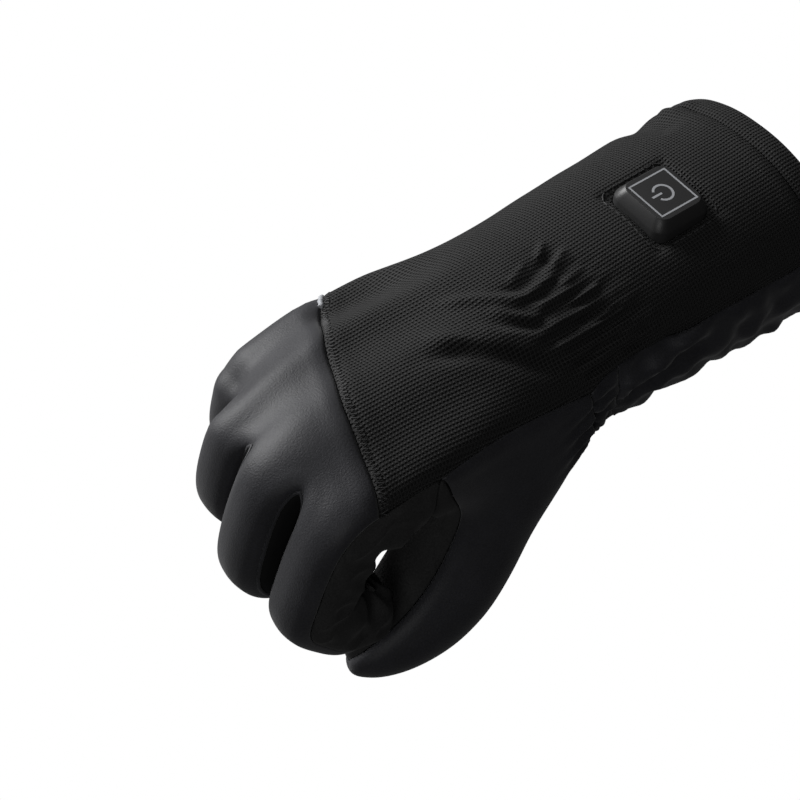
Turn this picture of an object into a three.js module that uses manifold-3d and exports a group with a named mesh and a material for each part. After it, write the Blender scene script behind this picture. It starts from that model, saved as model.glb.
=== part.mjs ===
import * as THREE from "three";
import { mergeVertices } from "three/addons/utils/BufferGeometryUtils.js";
import Module from "manifold-3d";

// Right-hand heated glove, held in a loose fist. Millimetres, +X to the knuckles, +Y to the thumb,
// +Z to the back of the hand, origin at the middle of the wrist.

// Cuff and wrist
const CUFF_LENGTH = 110;
const CUFF_WIDTH = 87;
const CUFF_DEPTH = 69;
const WRIST_WIDTH = 79;
const WRIST_DEPTH = 60;
const GATHER_HEIGHT = 1.2;

// Hand
const HAND_LENGTH = 100;
const HAND_DEPTH = 34;
const FIST_SIDE = -3.7;

// Fingers
const FINGER_WIDTH = 23.2;
const FINGER_DEPTH = 25;
const FINGER_GAP = 0.5;
const KNUCKLE_RADIUS = 15;
const MIDDLE_JOINT_RADIUS = 12.8;
const END_JOINT_RADIUS = 12.8;

// Thumb
const THUMB_REACH = 92;
const THUMB_WIDTH = 27;
const THUMB_DEPTH = 25;

// Walls and seams
const KNIT_WALL = 2.6;
const SHELL_WALL = 2.2;
const SUEDE_WALL = 1.8;
const GUSSET_WALL = 1.5;
const HEM_WALL = 3.2;
const SEAM_GAP = 0.45;

// Power button, in an opening of the knit on the back of the cuff
const BUTTON_REACH = 57;
const BUTTON_SIDE = 2.2;
const BUTTON_SIZE = 24.4;
const BUTTON_TOP = 19.4;
const BUTTON_CORNER = 4.5;
const BUTTON_HEIGHT = 5;
const BUTTON_FLANGE = 2.5;
const BUTTON_FLANGE_THICKNESS = 1.2;
const BUTTON_CLEARANCE = 0.3;

// A ring of the hand has 36 points: the radial middle, 17 over the back from the forefinger to the
// little finger, the ulnar middle, and 17 under the palm back to the forefinger.
const STRANDS = 4;
const BACK = 4 * STRANDS;
const RING = 2 * BACK + 4;
const ULNAR = BACK + 2;
const GATHERED_STRANDS = 11;

// Cuff sections from the hem to the wrist. along: share of CUFF_LENGTH behind the wrist;
// flare: 0 for the wrist's width, 1 for the cuff's; edge: the knit's edge, in degrees above the
// radial middle; gather: share of the gathers' height.
const CUFF_SECTIONS = [
  { along: 1.0, flare: 1.0, edge: 25, gather: 0 },
  { along: 0.92, flare: 1.0, edge: 25, gather: 0 },
  { along: 0.82, flare: 0.95, edge: 25, gather: 0 },
  { along: 0.7, flare: 0.86, edge: 25, gather: 0 },
  { along: 0.56, flare: 0.72, edge: 26, gather: 0 },
  { along: 0.42, flare: 0.56, edge: 26, gather: 0 },
  { along: 0.29, flare: 0.36, edge: 27, gather: 0 },
  { along: 0.18, flare: 0.16, edge: 28, gather: 0.3 },
  { along: 0.1, flare: 0.03, edge: 27, gather: 0.8 },
  { along: 0.045, flare: 0.0, edge: 25, gather: 1 },
];

// Hand sections from the wrist to just short of the knuckles. radial and ulnar: places of the two
// sides as shares of HAND_LENGTH; knuckle: share of the way from the wrist's oval to the four
// fingers side by side.
const HAND_SECTIONS = [
  { radial: 0.0, ulnar: 0.0, knuckle: 0.0, edge: 20, gather: 1 },
  { radial: 0.07, ulnar: 0.05, knuckle: 0.05, edge: 22, gather: 0.7 },
  { radial: 0.2, ulnar: 0.11, knuckle: 0.18, edge: 25, gather: 0.2 },
  { radial: 0.34, ulnar: 0.17, knuckle: 0.42, edge: 30, gather: 0 },
  { radial: 0.48, ulnar: 0.23, knuckle: 0.7, edge: 32, gather: 0 },
  { radial: 0.61, ulnar: 0.29, knuckle: 0.9, edge: 34, gather: 0 },
];

// Sections over the knuckles. A finger's name: how far the section lies along that finger, bends
// laid straight, as a share of HAND_LENGTH; slant: how far it runs on smoothly from finger to
// finger, and not square across each; fill: how far the hollows between knuckles are filled.
const KNUCKLE_SECTIONS = [
  { index: 0.74, middle: 0.64, ring: 0.51, little: 0.38, slant: 1.0, fill: 0.95 },
  { index: 0.85, middle: 0.77, ring: 0.63, little: 0.47, slant: 1.0, fill: 0.93 },
  { index: 0.91, middle: 0.88, ring: 0.79, little: 0.64, slant: 0.6, fill: 0.85 },
  { index: 0.945, middle: 0.98, ring: 0.94, little: 0.79, slant: 0.0, fill: 0.55 },
];

// Fingers, from the thumb's side. reach: knuckle's place as a share of HAND_LENGTH; rise: share of
// HAND_DEPTH; the three lengths are shares of HAND_LENGTH; the bends are in degrees; girth: share
// of FINGER_WIDTH and FINGER_DEPTH.
const FINGERS = [
  { name: "index", reach: 0.97, rise: 0.22, first: 0.355, second: 0.22, third: 0.15,
    knuckle: 78, middle: 50, end: 38, girth: 1.03 },
  { name: "middle", reach: 0.995, rise: 0.3, first: 0.46, second: 0.25, third: 0.18,
    knuckle: 80, middle: 95, end: 50, girth: 1.04 },
  { name: "ring", reach: 0.925, rise: 0.2, first: 0.404, second: 0.25, third: 0.18,
    knuckle: 80, middle: 100, end: 50, girth: 0.96 },
  { name: "little", reach: 0.755, rise: -0.09, first: 0.313, second: 0.23, third: 0.17,
    knuckle: 80, middle: 98, end: 50, girth: 0.8 },
];

const BETWEEN_FINGERS = ["fourchette_index_middle", "fourchette_middle_ring", "fourchette_ring_little"];

// Steps along one finger: shares of the way from the web to the middle joint, of the bends at the
// middle and end joints, and of the tip, where size is the tip's share of the finger's girth.
const WEB_STEPS = [0.15, 0.4, 0.7];
const WEB_LEAN = 0.5;
const MIDDLE_JOINT_STEPS = [0, 0.25, 0.5, 0.75, 1];
const END_JOINT_STEPS = [0, 0.5, 1];
const TIP_STEPS = [
  { along: 0.5, size: 0.97 },
  { along: 0.8, size: 0.84 },
  { along: 0.97, size: 0.5 },
];

// Thumb sections. x: place as a share of HAND_LENGTH; y and z: places as shares of THUMB_REACH;
// wide and deep: shares of the thumb's width and depth.
const THUMB_SECTIONS = [
  { x: 0.388, y: 0.336, z: -0.367, wide: 1.13, deep: 1.5 },
  { x: 0.455, y: 0.348, z: -0.521, wide: 1.12, deep: 1.55 },
  { x: 0.535, y: 0.345, z: -0.647, wide: 1.14, deep: 1.55 },
  { x: 0.637, y: 0.346, z: -0.734, wide: 1.08, deep: 1.35 },
  { x: 0.734, y: 0.346, z: -0.771, wide: 0.9, deep: 1.05 },
  { x: 0.81, y: 0.335, z: -0.808, wide: 0.7, deep: 0.7 },
  { x: 0.846, y: 0.32, z: -0.814, wide: 0.36, deep: 0.36 },
];
const THUMB_ROOT_STEPS = [0.25, 0.5, 0.75];

// The thumb's root, side by side round the hole: where its first corner leads round the thumb, in
// degrees from the thumb's inside towards its back, and the way the cloth leaves the hand.
const THUMB_SIDES = [
  { side: "back", corner: 165, x: 0.1, y: 0.45, z: -1 },
  { side: "inside", corner: 82, x: -0.1, y: 0.1, z: -1 },
  { side: "front", corner: -45, x: 0.3, y: 0.3, z: -1 },
  { side: "outside", corner: -125, x: 0.6, y: 0.35, z: -0.75 },
];
const THUMB_ACROSS = 6;

const rad = THREE.MathUtils.degToRad;
const lerp = THREE.MathUtils.lerp;
const vec = (x, y, z) => new THREE.Vector3(x, y, z);
const mix = (a, b, share) => a.clone().lerp(b, share);

// One point of a rounded oval, at an angle from the first axis to the second.
function ovalPoint(centre, first, second, halfFirst, halfSecond, degrees, squareness) {
  const c = Math.cos(rad(degrees));
  const s = Math.sin(rad(degrees));
  const across = halfFirst * Math.sign(c) * Math.abs(c) ** (2 / squareness);
  const up = halfSecond * Math.sign(s) * Math.abs(s) ** (2 / squareness);
  return centre.clone().addScaledVector(first, across).addScaledVector(second, up);
}

// Angle of a ring's point, with the edges of its back at the given angles above the middle.
function ringAngle(index, edge) {
  if (index === 0) return 0;
  if (index === ULNAR) return 180;
  if (index < ULNAR) return lerp(edge, 180 - edge, (index - 1) / BACK);
  return lerp(180 + edge, 360 - edge, (index - ULNAR - 1) / BACK);
}

// An oval ring, whose place along the hand may differ from its radial to its ulnar side.
function ovalRing(radial, ulnar, width, depth, edge) {
  const ring = [];
  for (let i = 0; i < RING; i += 1) {
    const point = ovalPoint(vec(0, 0, 0), vec(0, 1, 0), vec(0, 0, 1), width / 2, depth / 2,
      ringAngle(i, edge), 2.1);
    point.x = lerp(ulnar, radial, 0.5 + point.y / width);
    ring.push(point);
  }
  return ring;
}

// The fingers lie side by side, a small gap apart.
const fistWidth = FINGERS.reduce((sum, finger) => sum + finger.girth * FINGER_WIDTH, 3 * FINGER_GAP);
const fingerSides = FINGERS.map((finger, f) => {
  const before = FINGERS.slice(0, f)
    .reduce((sum, other) => sum + other.girth * FINGER_WIDTH + FINGER_GAP, 0);
  return FIST_SIDE + fistWidth / 2 - before - 0.5 * finger.girth * FINGER_WIDTH;
});

// A finger's centre line: straight, knuckle bend, straight, middle joint, straight, end joint, tip.
function fingerPath(finger, f) {
  const corner = vec(finger.reach * HAND_LENGTH, fingerSides[f], finger.rise * HAND_DEPTH);
  const joints = [
    { bend: finger.knuckle, radius: finger.girth * KNUCKLE_RADIUS, next: finger.first * HAND_LENGTH },
    { bend: finger.middle, radius: finger.girth * MIDDLE_JOINT_RADIUS, next: finger.second * HAND_LENGTH },
    { bend: finger.end, radius: finger.girth * END_JOINT_RADIUS, next: finger.third * HAND_LENGTH },
  ];
  const spans = [];
  let turned = 0;
  let from = 0;
  joints.forEach((joint, k) => {
    const tangent = joint.radius * Math.tan(rad(joint.bend / 2));
    const direction = vec(Math.cos(rad(turned)), 0, -Math.sin(rad(turned)));
    const start = corner.clone().addScaledVector(direction, -tangent);
    spans.push({ start, turned, bend: joint.bend, radius: joint.radius, from });
    from += rad(joint.bend) * joint.radius;
    turned += joint.bend;
    const onward = vec(Math.cos(rad(turned)), 0, -Math.sin(rad(turned)));
    const nextTangent = k < 2 ? joints[k + 1].radius * Math.tan(rad(joints[k + 1].bend / 2)) : 0;
    spans[k].straight = joint.next - tangent - nextTangent;
    corner.addScaledVector(onward, joint.next);
    from += spans[k].straight;
  });
  return spans;
}

// Centre and axes of a finger at a length along its path from the start of the knuckle's bend.
function fingerFrame(path, length) {
  let span = path[0];
  path.forEach((candidate) => {
    if (length >= candidate.from) span = candidate;
  });
  const along = length - span.from;
  const arc = rad(span.bend) * span.radius;
  const share = Math.min(Math.max(along / arc, 0), 1);
  const angle = span.turned + share * span.bend;
  const straight = along < 0 ? along : Math.max(along - arc, 0);
  const tangentAt = (degrees) => vec(Math.cos(rad(degrees)), 0, -Math.sin(rad(degrees)));
  const backAt = (degrees) => vec(Math.sin(rad(degrees)), 0, Math.cos(rad(degrees)));
  const pivot = span.start.clone().addScaledVector(backAt(span.turned), -span.radius);
  const centre = pivot.addScaledVector(backAt(angle), span.radius).addScaledVector(tangentAt(angle), straight);
  const knob = Math.sin(Math.PI * share);
  return { centre, tangent: tangentAt(angle), back: backAt(angle), knob };
}

const FINGER_ANGLES = [0, 36, 63, 90, 117, 144, 180, 216, 243, 270, 297, 324];

// One of the twelve points round a finger: radial middle, five over the back, ulnar middle, five
// in front.
function fingerPoint(finger, path, length, size, m) {
  const frame = fingerFrame(path, length);
  const halfWidth = 0.5 * FINGER_WIDTH * finger.girth * size;
  const halfDepth = 0.5 * FINGER_DEPTH * finger.girth * size;
  const knob = m > 0 && m < 6 ? 1 + 0.1 * frame.knob : 1;
  return ovalPoint(frame.centre, vec(0, 1, 0), frame.back, halfWidth, halfDepth * knob,
    FINGER_ANGLES[m], 2.3);
}

const fingerRing = (finger, path, length, size) => (
  FINGER_ANGLES.map((_, m) => fingerPoint(finger, path, length, size, m)));

const paths = FINGERS.map(fingerPath);

// How far a joined ring lies along finger f, at a place from one side of it (-0.5) to the other.
function reachAt(reaches, f, place, slant) {
  const from = Math.min(Math.max(Math.floor(f + place), 0), 2);
  const smooth = lerp(reaches[from], reaches[from + 1], f + place - from);
  return lerp(reaches[f], smooth, slant);
}

// A ring of the hand made of the four fingers side by side. reaches: how far it lies along each
// finger, bends laid straight.
function joinedRing(reaches, slant, fill) {
  const sidePlace = (m) => (m === 0 || m === 6 ? (m === 0 ? -0.5 : 0.5) : (m < 6 ? m - 3 : 9 - m) / 4);
  const fingers = FINGERS.map((finger, f) => FINGER_ANGLES.map((_, m) => {
    const length = reachAt(reaches, f, sidePlace(m), slant) - paths[f][0].start.x;
    return fingerPoint(finger, paths[f], length, 1, m);
  }));
  const ring = new Array(RING);
  ring[0] = fingers[0][0];
  ring[ULNAR] = fingers[3][6];
  for (let f = 0; f < 4; f += 1) {
    for (let m = 0; m < 5; m += 1) {
      const backIndex = 1 + 4 * f + m;
      const palmIndex = RING - 1 - 4 * f - m;
      const backPoint = fingers[f][1 + m];
      const palmPoint = fingers[f][11 - m];
      if (m === 0 && f > 0) {
        const crest = mix(fingers[f - 1][3], fingers[f][3], 0.5);
        ring[backIndex] = mix(mix(fingers[f - 1][5], backPoint, 0.5), crest, fill);
        ring[palmIndex] = mix(fingers[f - 1][9], fingers[f][9], 0.5);
      } else {
        ring[backIndex] = backPoint;
        ring[palmIndex] = palmPoint;
      }
    }
  }
  return ring;
}

// The glove's outer surface: points, and faces that each name their panel.
const points = [];
const faces = [];
const addPoint = (point) => points.push(point) - 1;
const addRing = (ring) => ring.map(addPoint);

function addFace(panel, ...corners) {
  faces.push({ panel, corners });
}

// Gathers: every other strand is drawn out and the strands between are drawn in. The back is
// gathered only on the thumb's side, up to GATHERED_STRANDS.
function gathered(ring, share) {
  return ring.map((point, i) => {
    const outward = vec(0, point.y, point.z).normalize();
    const side = i % 2 === 0 ? 1 : -1;
    const reach = i > GATHERED_STRANDS && i <= ULNAR ? 0 : 1;
    return point.clone().addScaledVector(outward, reach * side * share * GATHER_HEIGHT);
  });
}

const cuffRings = CUFF_SECTIONS.map((section) => addRing(gathered(ovalRing(
  -section.along * CUFF_LENGTH,
  -section.along * CUFF_LENGTH,
  lerp(WRIST_WIDTH, CUFF_WIDTH, section.flare),
  lerp(WRIST_DEPTH, CUFF_DEPTH, section.flare),
  section.edge,
), section.gather)));

const handRings = HAND_SECTIONS.map((section) => {
  const radial = section.radial * HAND_LENGTH;
  const ulnar = section.ulnar * HAND_LENGTH;
  const oval = ovalRing(radial, ulnar, WRIST_WIDTH, WRIST_DEPTH, section.edge);
  const joined = joinedRing(FINGERS.map((_, k) => lerp(radial, ulnar, k / 3)), 1, 0.8);
  return addRing(gathered(oval.map((point, i) => mix(point, joined[i], section.knuckle)), section.gather));
});

const placesOn = (section) => FINGERS.map((finger) => HAND_LENGTH * section[finger.name]);
const knuckleRings = KNUCKLE_SECTIONS.map((section) => addRing(
  joinedRing(placesOn(section), section.slant, section.fill)));

const rings = [...cuffRings, ...handRings, ...knuckleRings];
const WRIST = cuffRings.length;
const THUMB_END = WRIST + HAND_SECTIONS.length - 1;
const KNIT_END = THUMB_END + 2;
const THUMB_SPAN = THUMB_END - WRIST;

// Panel of the face between two rings, from one strand to the next.
function handPanel(ringIndex, strand) {
  const back = strand >= 1 && strand < ULNAR - 1;
  const inThumb = ringIndex >= WRIST && ringIndex < THUMB_END && (strand < 1 || strand > RING - THUMB_ACROSS);
  if (ringIndex === 0) return "cuff_hem";
  if (inThumb) return null;
  if (back && ringIndex < KNIT_END) return "back_knit";
  if (back) return "finger_shell";
  if (ringIndex === WRIST - 2 || ringIndex === WRIST - 1) return "wrist_ruche";
  if (ringIndex < WRIST) return "cuff_under";
  if (strand === ULNAR - 1) return ringIndex < KNIT_END ? "palm_suede" : "finger_shell";
  return "palm_suede";
}

for (let r = 0; r + 1 < rings.length; r += 1) {
  for (let s = 0; s < RING; s += 1) {
    const panel = handPanel(r, s);
    const t = (s + 1) % RING;
    if (panel) addFace(panel, rings[r][s], rings[r][t], rings[r + 1][t], rings[r + 1][s]);
  }
}

// Webs and fingers
const last = rings[rings.length - 1];
const webLengths = placesOn(KNUCKLE_SECTIONS[KNUCKLE_SECTIONS.length - 1])
  .map((reach, f) => reach - paths[f][0].start.x);
const crotches = [];
for (let f = 0; f < 3; f += 1) {
  const middle = mix(fingerFrame(paths[f], webLengths[f]).centre,
    fingerFrame(paths[f + 1], webLengths[f + 1]).centre, 0.5);
  crotches.push(addPoint(middle));
}

FINGERS.forEach((finger, f) => {
  const path = paths[f];
  const start = [];
  start.push(f === 0 ? last[0] : crotches[f - 1]);
  for (let m = 0; m < 5; m += 1) start.push(last[1 + 4 * f + m]);
  start.push(f === 3 ? last[ULNAR] : crotches[f]);
  for (let m = 4; m >= 0; m -= 1) start.push(last[RING - 1 - 4 * f - m]);
  const chain = [start];
  const tipLength = finger.third * HAND_LENGTH;
  const bendAt = (span, share) => span.from + share * rad(span.bend) * span.radius;
  const webEnd = webLengths[f];
  const gap = path[1].from - webEnd;
  WEB_STEPS.forEach((share) => chain.push(addRing(fingerRing(finger, path, webEnd + share * gap, 1))));
  MIDDLE_JOINT_STEPS.forEach((share) => chain.push(addRing(fingerRing(finger, path, bendAt(path[1], share), 1))));
  END_JOINT_STEPS.forEach((share) => chain.push(addRing(fingerRing(finger, path, bendAt(path[2], share), 1))));
  const tipFrom = bendAt(path[2], 1);
  TIP_STEPS.forEach((step) => {
    chain.push(addRing(fingerRing(finger, path, tipFrom + step.along * path[2].straight, step.size)));
  });
  for (let r = 0; r + 1 < chain.length; r += 1) {
    for (let m = 0; m < 12; m += 1) {
      const n = (m + 1) % 12;
      let panel = "palm_suede";
      if (m >= 1 && m < 5) panel = "finger_shell";
      if (m === 5 || m === 6) panel = f < 3 ? BETWEEN_FINGERS[f] : "finger_shell";
      if (m === 6 && f === 3) panel = "palm_suede";
      if (m === 0 || m === 11) panel = f > 0 ? BETWEEN_FINGERS[f - 1] : "palm_suede";
      addFace(panel, chain[r][m], chain[r][n], chain[r + 1][n], chain[r + 1][m]);
    }
  }
  const end = chain[chain.length - 1];
  addFace("palm_suede", end[0], end[1], end[11]);
  for (let m = 1; m < 5; m += 1) addFace("palm_suede", end[m], end[m + 1], end[11 - m], end[12 - m]);
  addFace("palm_suede", end[5], end[6], end[7]);
});

// Thumb
const across = (k) => (1 - k + RING) % RING;
const hole = [];
for (let k = 0; k < THUMB_SPAN; k += 1) hole.push(rings[WRIST + k][1]);
for (let k = 0; k < THUMB_ACROSS; k += 1) hole.push(rings[THUMB_END][across(k)]);
for (let k = 0; k < THUMB_SPAN; k += 1) hole.push(rings[THUMB_END - k][across(THUMB_ACROSS)]);
for (let k = 0; k < THUMB_ACROSS; k += 1) hole.push(rings[WRIST][across(THUMB_ACROSS - k)]);
const THUMB_RING = hole.length;
const WEB_CORNER = THUMB_SPAN;
const PALM_CORNER = THUMB_SPAN + THUMB_ACROSS;

// The side of the thumb's root that a strand lies on, and its share of the way along that side.
function thumbSide(k) {
  const counts = [THUMB_SPAN, THUMB_ACROSS, THUMB_SPAN, THUMB_ACROSS];
  let left = k;
  let side = 0;
  while (left >= counts[side]) {
    left -= counts[side];
    side += 1;
  }
  return { side, share: left / counts[side] };
}

function thumbAngle(k) {
  const { side, share } = thumbSide(k);
  const next = side < 3 ? THUMB_SIDES[side + 1].corner : THUMB_SIDES[0].corner - 360;
  return lerp(THUMB_SIDES[side].corner, next, share);
}

// The way a strand leaves the hand: its side's own way, blended with the next side's at a corner.
function leavingWay(k) {
  const { side, share } = thumbSide(k);
  const wayOf = (i) => {
    const row = THUMB_SIDES[(i + 4) % 4];
    return vec(row.x, row.y, row.z).normalize();
  };
  const neighbour = share < 0.5 ? wayOf(side - 1) : wayOf(side + 1);
  return wayOf(side).lerp(neighbour, Math.abs(share - 0.5)).normalize();
}

const thumbCentres = THUMB_SECTIONS.map((section) => (
  vec(section.x * HAND_LENGTH, section.y * THUMB_REACH, section.z * THUMB_REACH)));
const thumbAxes = thumbCentres.map((centre, i) => {
  const before = thumbCentres[Math.max(i - 1, 0)];
  const after = thumbCentres[Math.min(i + 1, thumbCentres.length - 1)];
  return after.clone().sub(before).normalize();
});

function thumbRing(section, i) {
  const axis = thumbAxes[i];
  const inner = vec(0.35, -0.85, 0.4);
  inner.addScaledVector(axis, -inner.dot(axis)).normalize();
  const back = inner.clone().cross(axis);
  return hole.map((_, k) => ovalPoint(thumbCentres[i], inner, back, 0.5 * THUMB_DEPTH * section.deep,
    0.5 * THUMB_WIDTH * section.wide, thumbAngle(k), 2.1));
}

const thumbRings = THUMB_SECTIONS.map(thumbRing);

// Between the hole in the hand and the thumb's first section each strand follows a smooth curve.
function rootPoint(k, share) {
  const from = points[hole[k]];
  const to = thumbRings[0][k];
  const span = from.distanceTo(to);
  const leave = leavingWay(k).multiplyScalar(span);
  const arrive = thumbAxes[0].clone().multiplyScalar(span);
  const t = share;
  return from.clone().multiplyScalar(2 * t ** 3 - 3 * t ** 2 + 1)
    .addScaledVector(leave, t ** 3 - 2 * t ** 2 + t)
    .addScaledVector(to, 3 * t ** 2 - 2 * t ** 3)
    .addScaledVector(arrive, t ** 3 - t ** 2);
}

const thumbChain = [hole];
THUMB_ROOT_STEPS.forEach((share) => thumbChain.push(addRing(hole.map((_, k) => rootPoint(k, share)))));
thumbRings.forEach((ring) => thumbChain.push(addRing(ring)));
const thumbPanel = (k) => (k >= WEB_CORNER && k < PALM_CORNER + 1 ? "thumb_front" : "thumb_back");
for (let r = 0; r + 1 < thumbChain.length; r += 1) {
  for (let k = 0; k < THUMB_RING; k += 1) {
    const n = (k + 1) % THUMB_RING;
    addFace(thumbPanel(k), thumbChain[r][k], thumbChain[r][n], thumbChain[r + 1][n], thumbChain[r + 1][k]);
  }
}
const thumbEnd = thumbChain[thumbChain.length - 1];
const thumbTip = addPoint(thumbEnd.reduce((sum, i) => sum.add(points[i]), vec(0, 0, 0))
  .divideScalar(THUMB_RING));
for (let k = 0; k < THUMB_RING; k += 1) {
  addFace(thumbPanel(k), thumbEnd[k], thumbEnd[(k + 1) % THUMB_RING], thumbTip);
}

// Normals of the whole surface at its points
const normals = points.map(() => vec(0, 0, 0));
faces.forEach(({ corners }) => {
  const n = corners.length;
  corners.forEach((corner, k) => {
    const before = points[corners[(k + n - 1) % n]];
    const after = points[corners[(k + 1) % n]];
    const here = points[corner];
    const one = after.clone().sub(here);
    const two = before.clone().sub(here);
    const area = one.clone().cross(two);
    normals[corner].addScaledVector(area.normalize(), one.angleTo(two));
  });
});
normals.forEach((normal) => normal.normalize());

// At the bottom of a slot between two fingers the surface faces along them.
crotches.forEach((crotch, f) => {
  const one = fingerFrame(paths[f], webLengths[f]).tangent;
  const two = fingerFrame(paths[f + 1], webLengths[f + 1]).tangent;
  normals[crotch].copy(one).add(two).normalize();
  normals[last[5 + 4 * f]].addScaledVector(normals[crotch], WEB_LEAN).normalize();
});

// A panel's wall: its outer and inner surfaces and the cut edges between them, which stand back
// half a seam's gap from the next panel.
function panelGeometry(name, wall) {
  const own = faces.filter((face) => face.panel === name);
  const directed = new Map();
  own.forEach(({ corners }) => corners.forEach((corner, k) => {
    const next = corners[(k + 1) % corners.length];
    directed.set(`${corner}_${next}`, [corner, next]);
  }));
  const open = [...directed.values()].filter(([a, b]) => !directed.has(`${b}_${a}`));
  const insets = new Map();
  open.forEach(([a, b]) => {
    const edge = points[b].clone().sub(points[a]).normalize();
    [a, b].forEach((corner) => {
      const inward = normals[corner].clone().cross(edge).normalize();
      if (!insets.has(corner)) insets.set(corner, []);
      insets.get(corner).push(inward);
    });
  });
  const used = new Map();
  const positions = [];
  const place = (corner) => {
    if (used.has(corner)) return used.get(corner);
    const at = points[corner].clone();
    const inward = insets.get(corner);
    if (inward) {
      const sum = inward.reduce((total, one) => total.add(one), vec(0, 0, 0));
      const spread = 1 + inward[0].dot(inward[inward.length - 1]);
      at.addScaledVector(sum, SEAM_GAP / inward.length / Math.max(spread, 0.5));
    }
    const index = positions.length;
    positions.push(at, at.clone().addScaledVector(normals[corner], -wall));
    used.set(corner, index);
    return index;
  };
  const triangles = [];
  own.forEach(({ corners }) => {
    const outer = corners.map(place);
    for (let k = 1; k + 1 < outer.length; k += 1) {
      triangles.push([outer[0], outer[k], outer[k + 1]]);
      triangles.push([outer[0] + 1, outer[k + 1] + 1, outer[k] + 1]);
    }
  });
  open.forEach(([a, b]) => {
    const first = place(a);
    const second = place(b);
    if (a < b) {
      triangles.push([first, first + 1, second + 1], [first, second + 1, second]);
    } else {
      triangles.push([first, first + 1, second], [first + 1, second + 1, second]);
    }
  });
  const geometry = new THREE.BufferGeometry();
  const flat = triangles.flatMap((triangle) => triangle.flatMap((i) => positions[i].toArray()));
  geometry.setAttribute("position", new THREE.Float32BufferAttribute(flat, 3));
  return geometry;
}

// The button's outline: a square with round corners.
const CORNER_STEPS = 4;
function roundedSquare(size, corner, z) {
  const ring = [];
  const reach = size / 2 - corner;
  for (let quarter = 0; quarter < 4; quarter += 1) {
    for (let step = 0; step <= CORNER_STEPS; step += 1) {
      const angle = rad(90 * (quarter + step / CORNER_STEPS));
      const turn = rad(90 * quarter + 45);
      const x = Math.sign(Math.cos(turn)) * reach + corner * Math.cos(angle);
      const y = Math.sign(Math.sin(turn)) * reach + corner * Math.sin(angle);
      ring.push(vec(x - BUTTON_REACH, y + BUTTON_SIDE, z));
    }
  }
  return ring;
}

// A closed solid through rings of equal count, flat at both ends.
function stackedSolid(stack) {
  const count = stack[0].length;
  const flat = [];
  const triangle = (a, b, c) => flat.push(...a.toArray(), ...b.toArray(), ...c.toArray());
  for (let r = 0; r + 1 < stack.length; r += 1) {
    for (let i = 0; i < count; i += 1) {
      const n = (i + 1) % count;
      triangle(stack[r][i], stack[r][n], stack[r + 1][n]);
      triangle(stack[r][i], stack[r + 1][n], stack[r + 1][i]);
    }
  }
  const top = stack[stack.length - 1];
  for (let i = 1; i + 1 < count; i += 1) {
    triangle(stack[0][0], stack[0][i + 1], stack[0][i]);
    triangle(top[0], top[i], top[i + 1]);
  }
  const geometry = new THREE.BufferGeometry();
  geometry.setAttribute("position", new THREE.Float32BufferAttribute(flat, 3));
  return geometry;
}

// Half the cuff's depth at a distance behind the wrist.
function cuffHalfDepth(behind) {
  const share = behind / CUFF_LENGTH;
  const after = CUFF_SECTIONS.findIndex((section) => section.along <= share);
  const near = CUFF_SECTIONS[after];
  const far = CUFF_SECTIONS[after - 1];
  const flare = lerp(near.flare, far.flare, (share - near.along) / (far.along - near.along));
  return 0.5 * lerp(WRIST_DEPTH, CUFF_DEPTH, flare);
}

const buttonSeat = cuffHalfDepth(BUTTON_REACH);
const flangeReach = BUTTON_SIZE / 2 + BUTTON_FLANGE;
const cuffHalfWidth = 0.5 * CUFF_WIDTH;
const flangeDrop = buttonSeat * (1 - Math.sqrt(1 - ((flangeReach + BUTTON_SIDE) / cuffHalfWidth) ** 2));
const flangeTop = cuffHalfDepth(BUTTON_REACH - flangeReach) - flangeDrop - KNIT_WALL - BUTTON_CLEARANCE;

function buttonCap() {
  const flangeSize = BUTTON_SIZE + 2 * BUTTON_FLANGE;
  const shoulder = BUTTON_SIZE - BUTTON_TOP;
  return stackedSolid([
    roundedSquare(flangeSize, BUTTON_CORNER, flangeTop - BUTTON_FLANGE_THICKNESS),
    roundedSquare(flangeSize, BUTTON_CORNER, flangeTop),
    roundedSquare(BUTTON_SIZE, BUTTON_CORNER, flangeTop),
    roundedSquare(BUTTON_SIZE, BUTTON_CORNER, buttonSeat + 0.15 * BUTTON_HEIGHT),
    roundedSquare(BUTTON_TOP + 0.3 * shoulder, BUTTON_CORNER, buttonSeat + 0.85 * BUTTON_HEIGHT),
    roundedSquare(BUTTON_TOP, 0.8 * BUTTON_CORNER, buttonSeat + BUTTON_HEIGHT),
  ]);
}

// Cuts one closed shape out of another.
const wasm = await Module();
wasm.setup();

function solidOf(geometry) {
  const merged = mergeVertices(geometry, 1e-4);
  return new wasm.Manifold(new wasm.Mesh({
    numProp: 3,
    vertProperties: new Float32Array(merged.attributes.position.array),
    triVerts: new Uint32Array(merged.index.array),
  }));
}

function geometryOf(solid) {
  const mesh = solid.getMesh();
  const geometry = new THREE.BufferGeometry();
  geometry.setAttribute("position", new THREE.BufferAttribute(mesh.vertProperties, 3));
  geometry.setIndex(new THREE.BufferAttribute(mesh.triVerts, 1));
  return geometry;
}

function knitWithOpening() {
  const opening = stackedSolid([
    roundedSquare(BUTTON_SIZE + 2 * BUTTON_CLEARANCE, BUTTON_CORNER, buttonSeat - BUTTON_SIZE / 2),
    roundedSquare(BUTTON_SIZE + 2 * BUTTON_CLEARANCE, BUTTON_CORNER, buttonSeat + BUTTON_SIZE / 2),
  ]);
  return geometryOf(solidOf(panelGeometry("back_knit", KNIT_WALL)).subtract(solidOf(opening)));
}

const cloth = (color, roughness) => new THREE.MeshStandardMaterial({ color, roughness, metalness: 0 });
const KNIT_COLOR = 0x151517;
const SHELL_COLOR = 0x2c2d31;
const SUEDE_COLOR = 0x262627;
const GUSSET_COLOR = 0x121213;
const RUBBER_COLOR = 0x0d0d0e;

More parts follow.
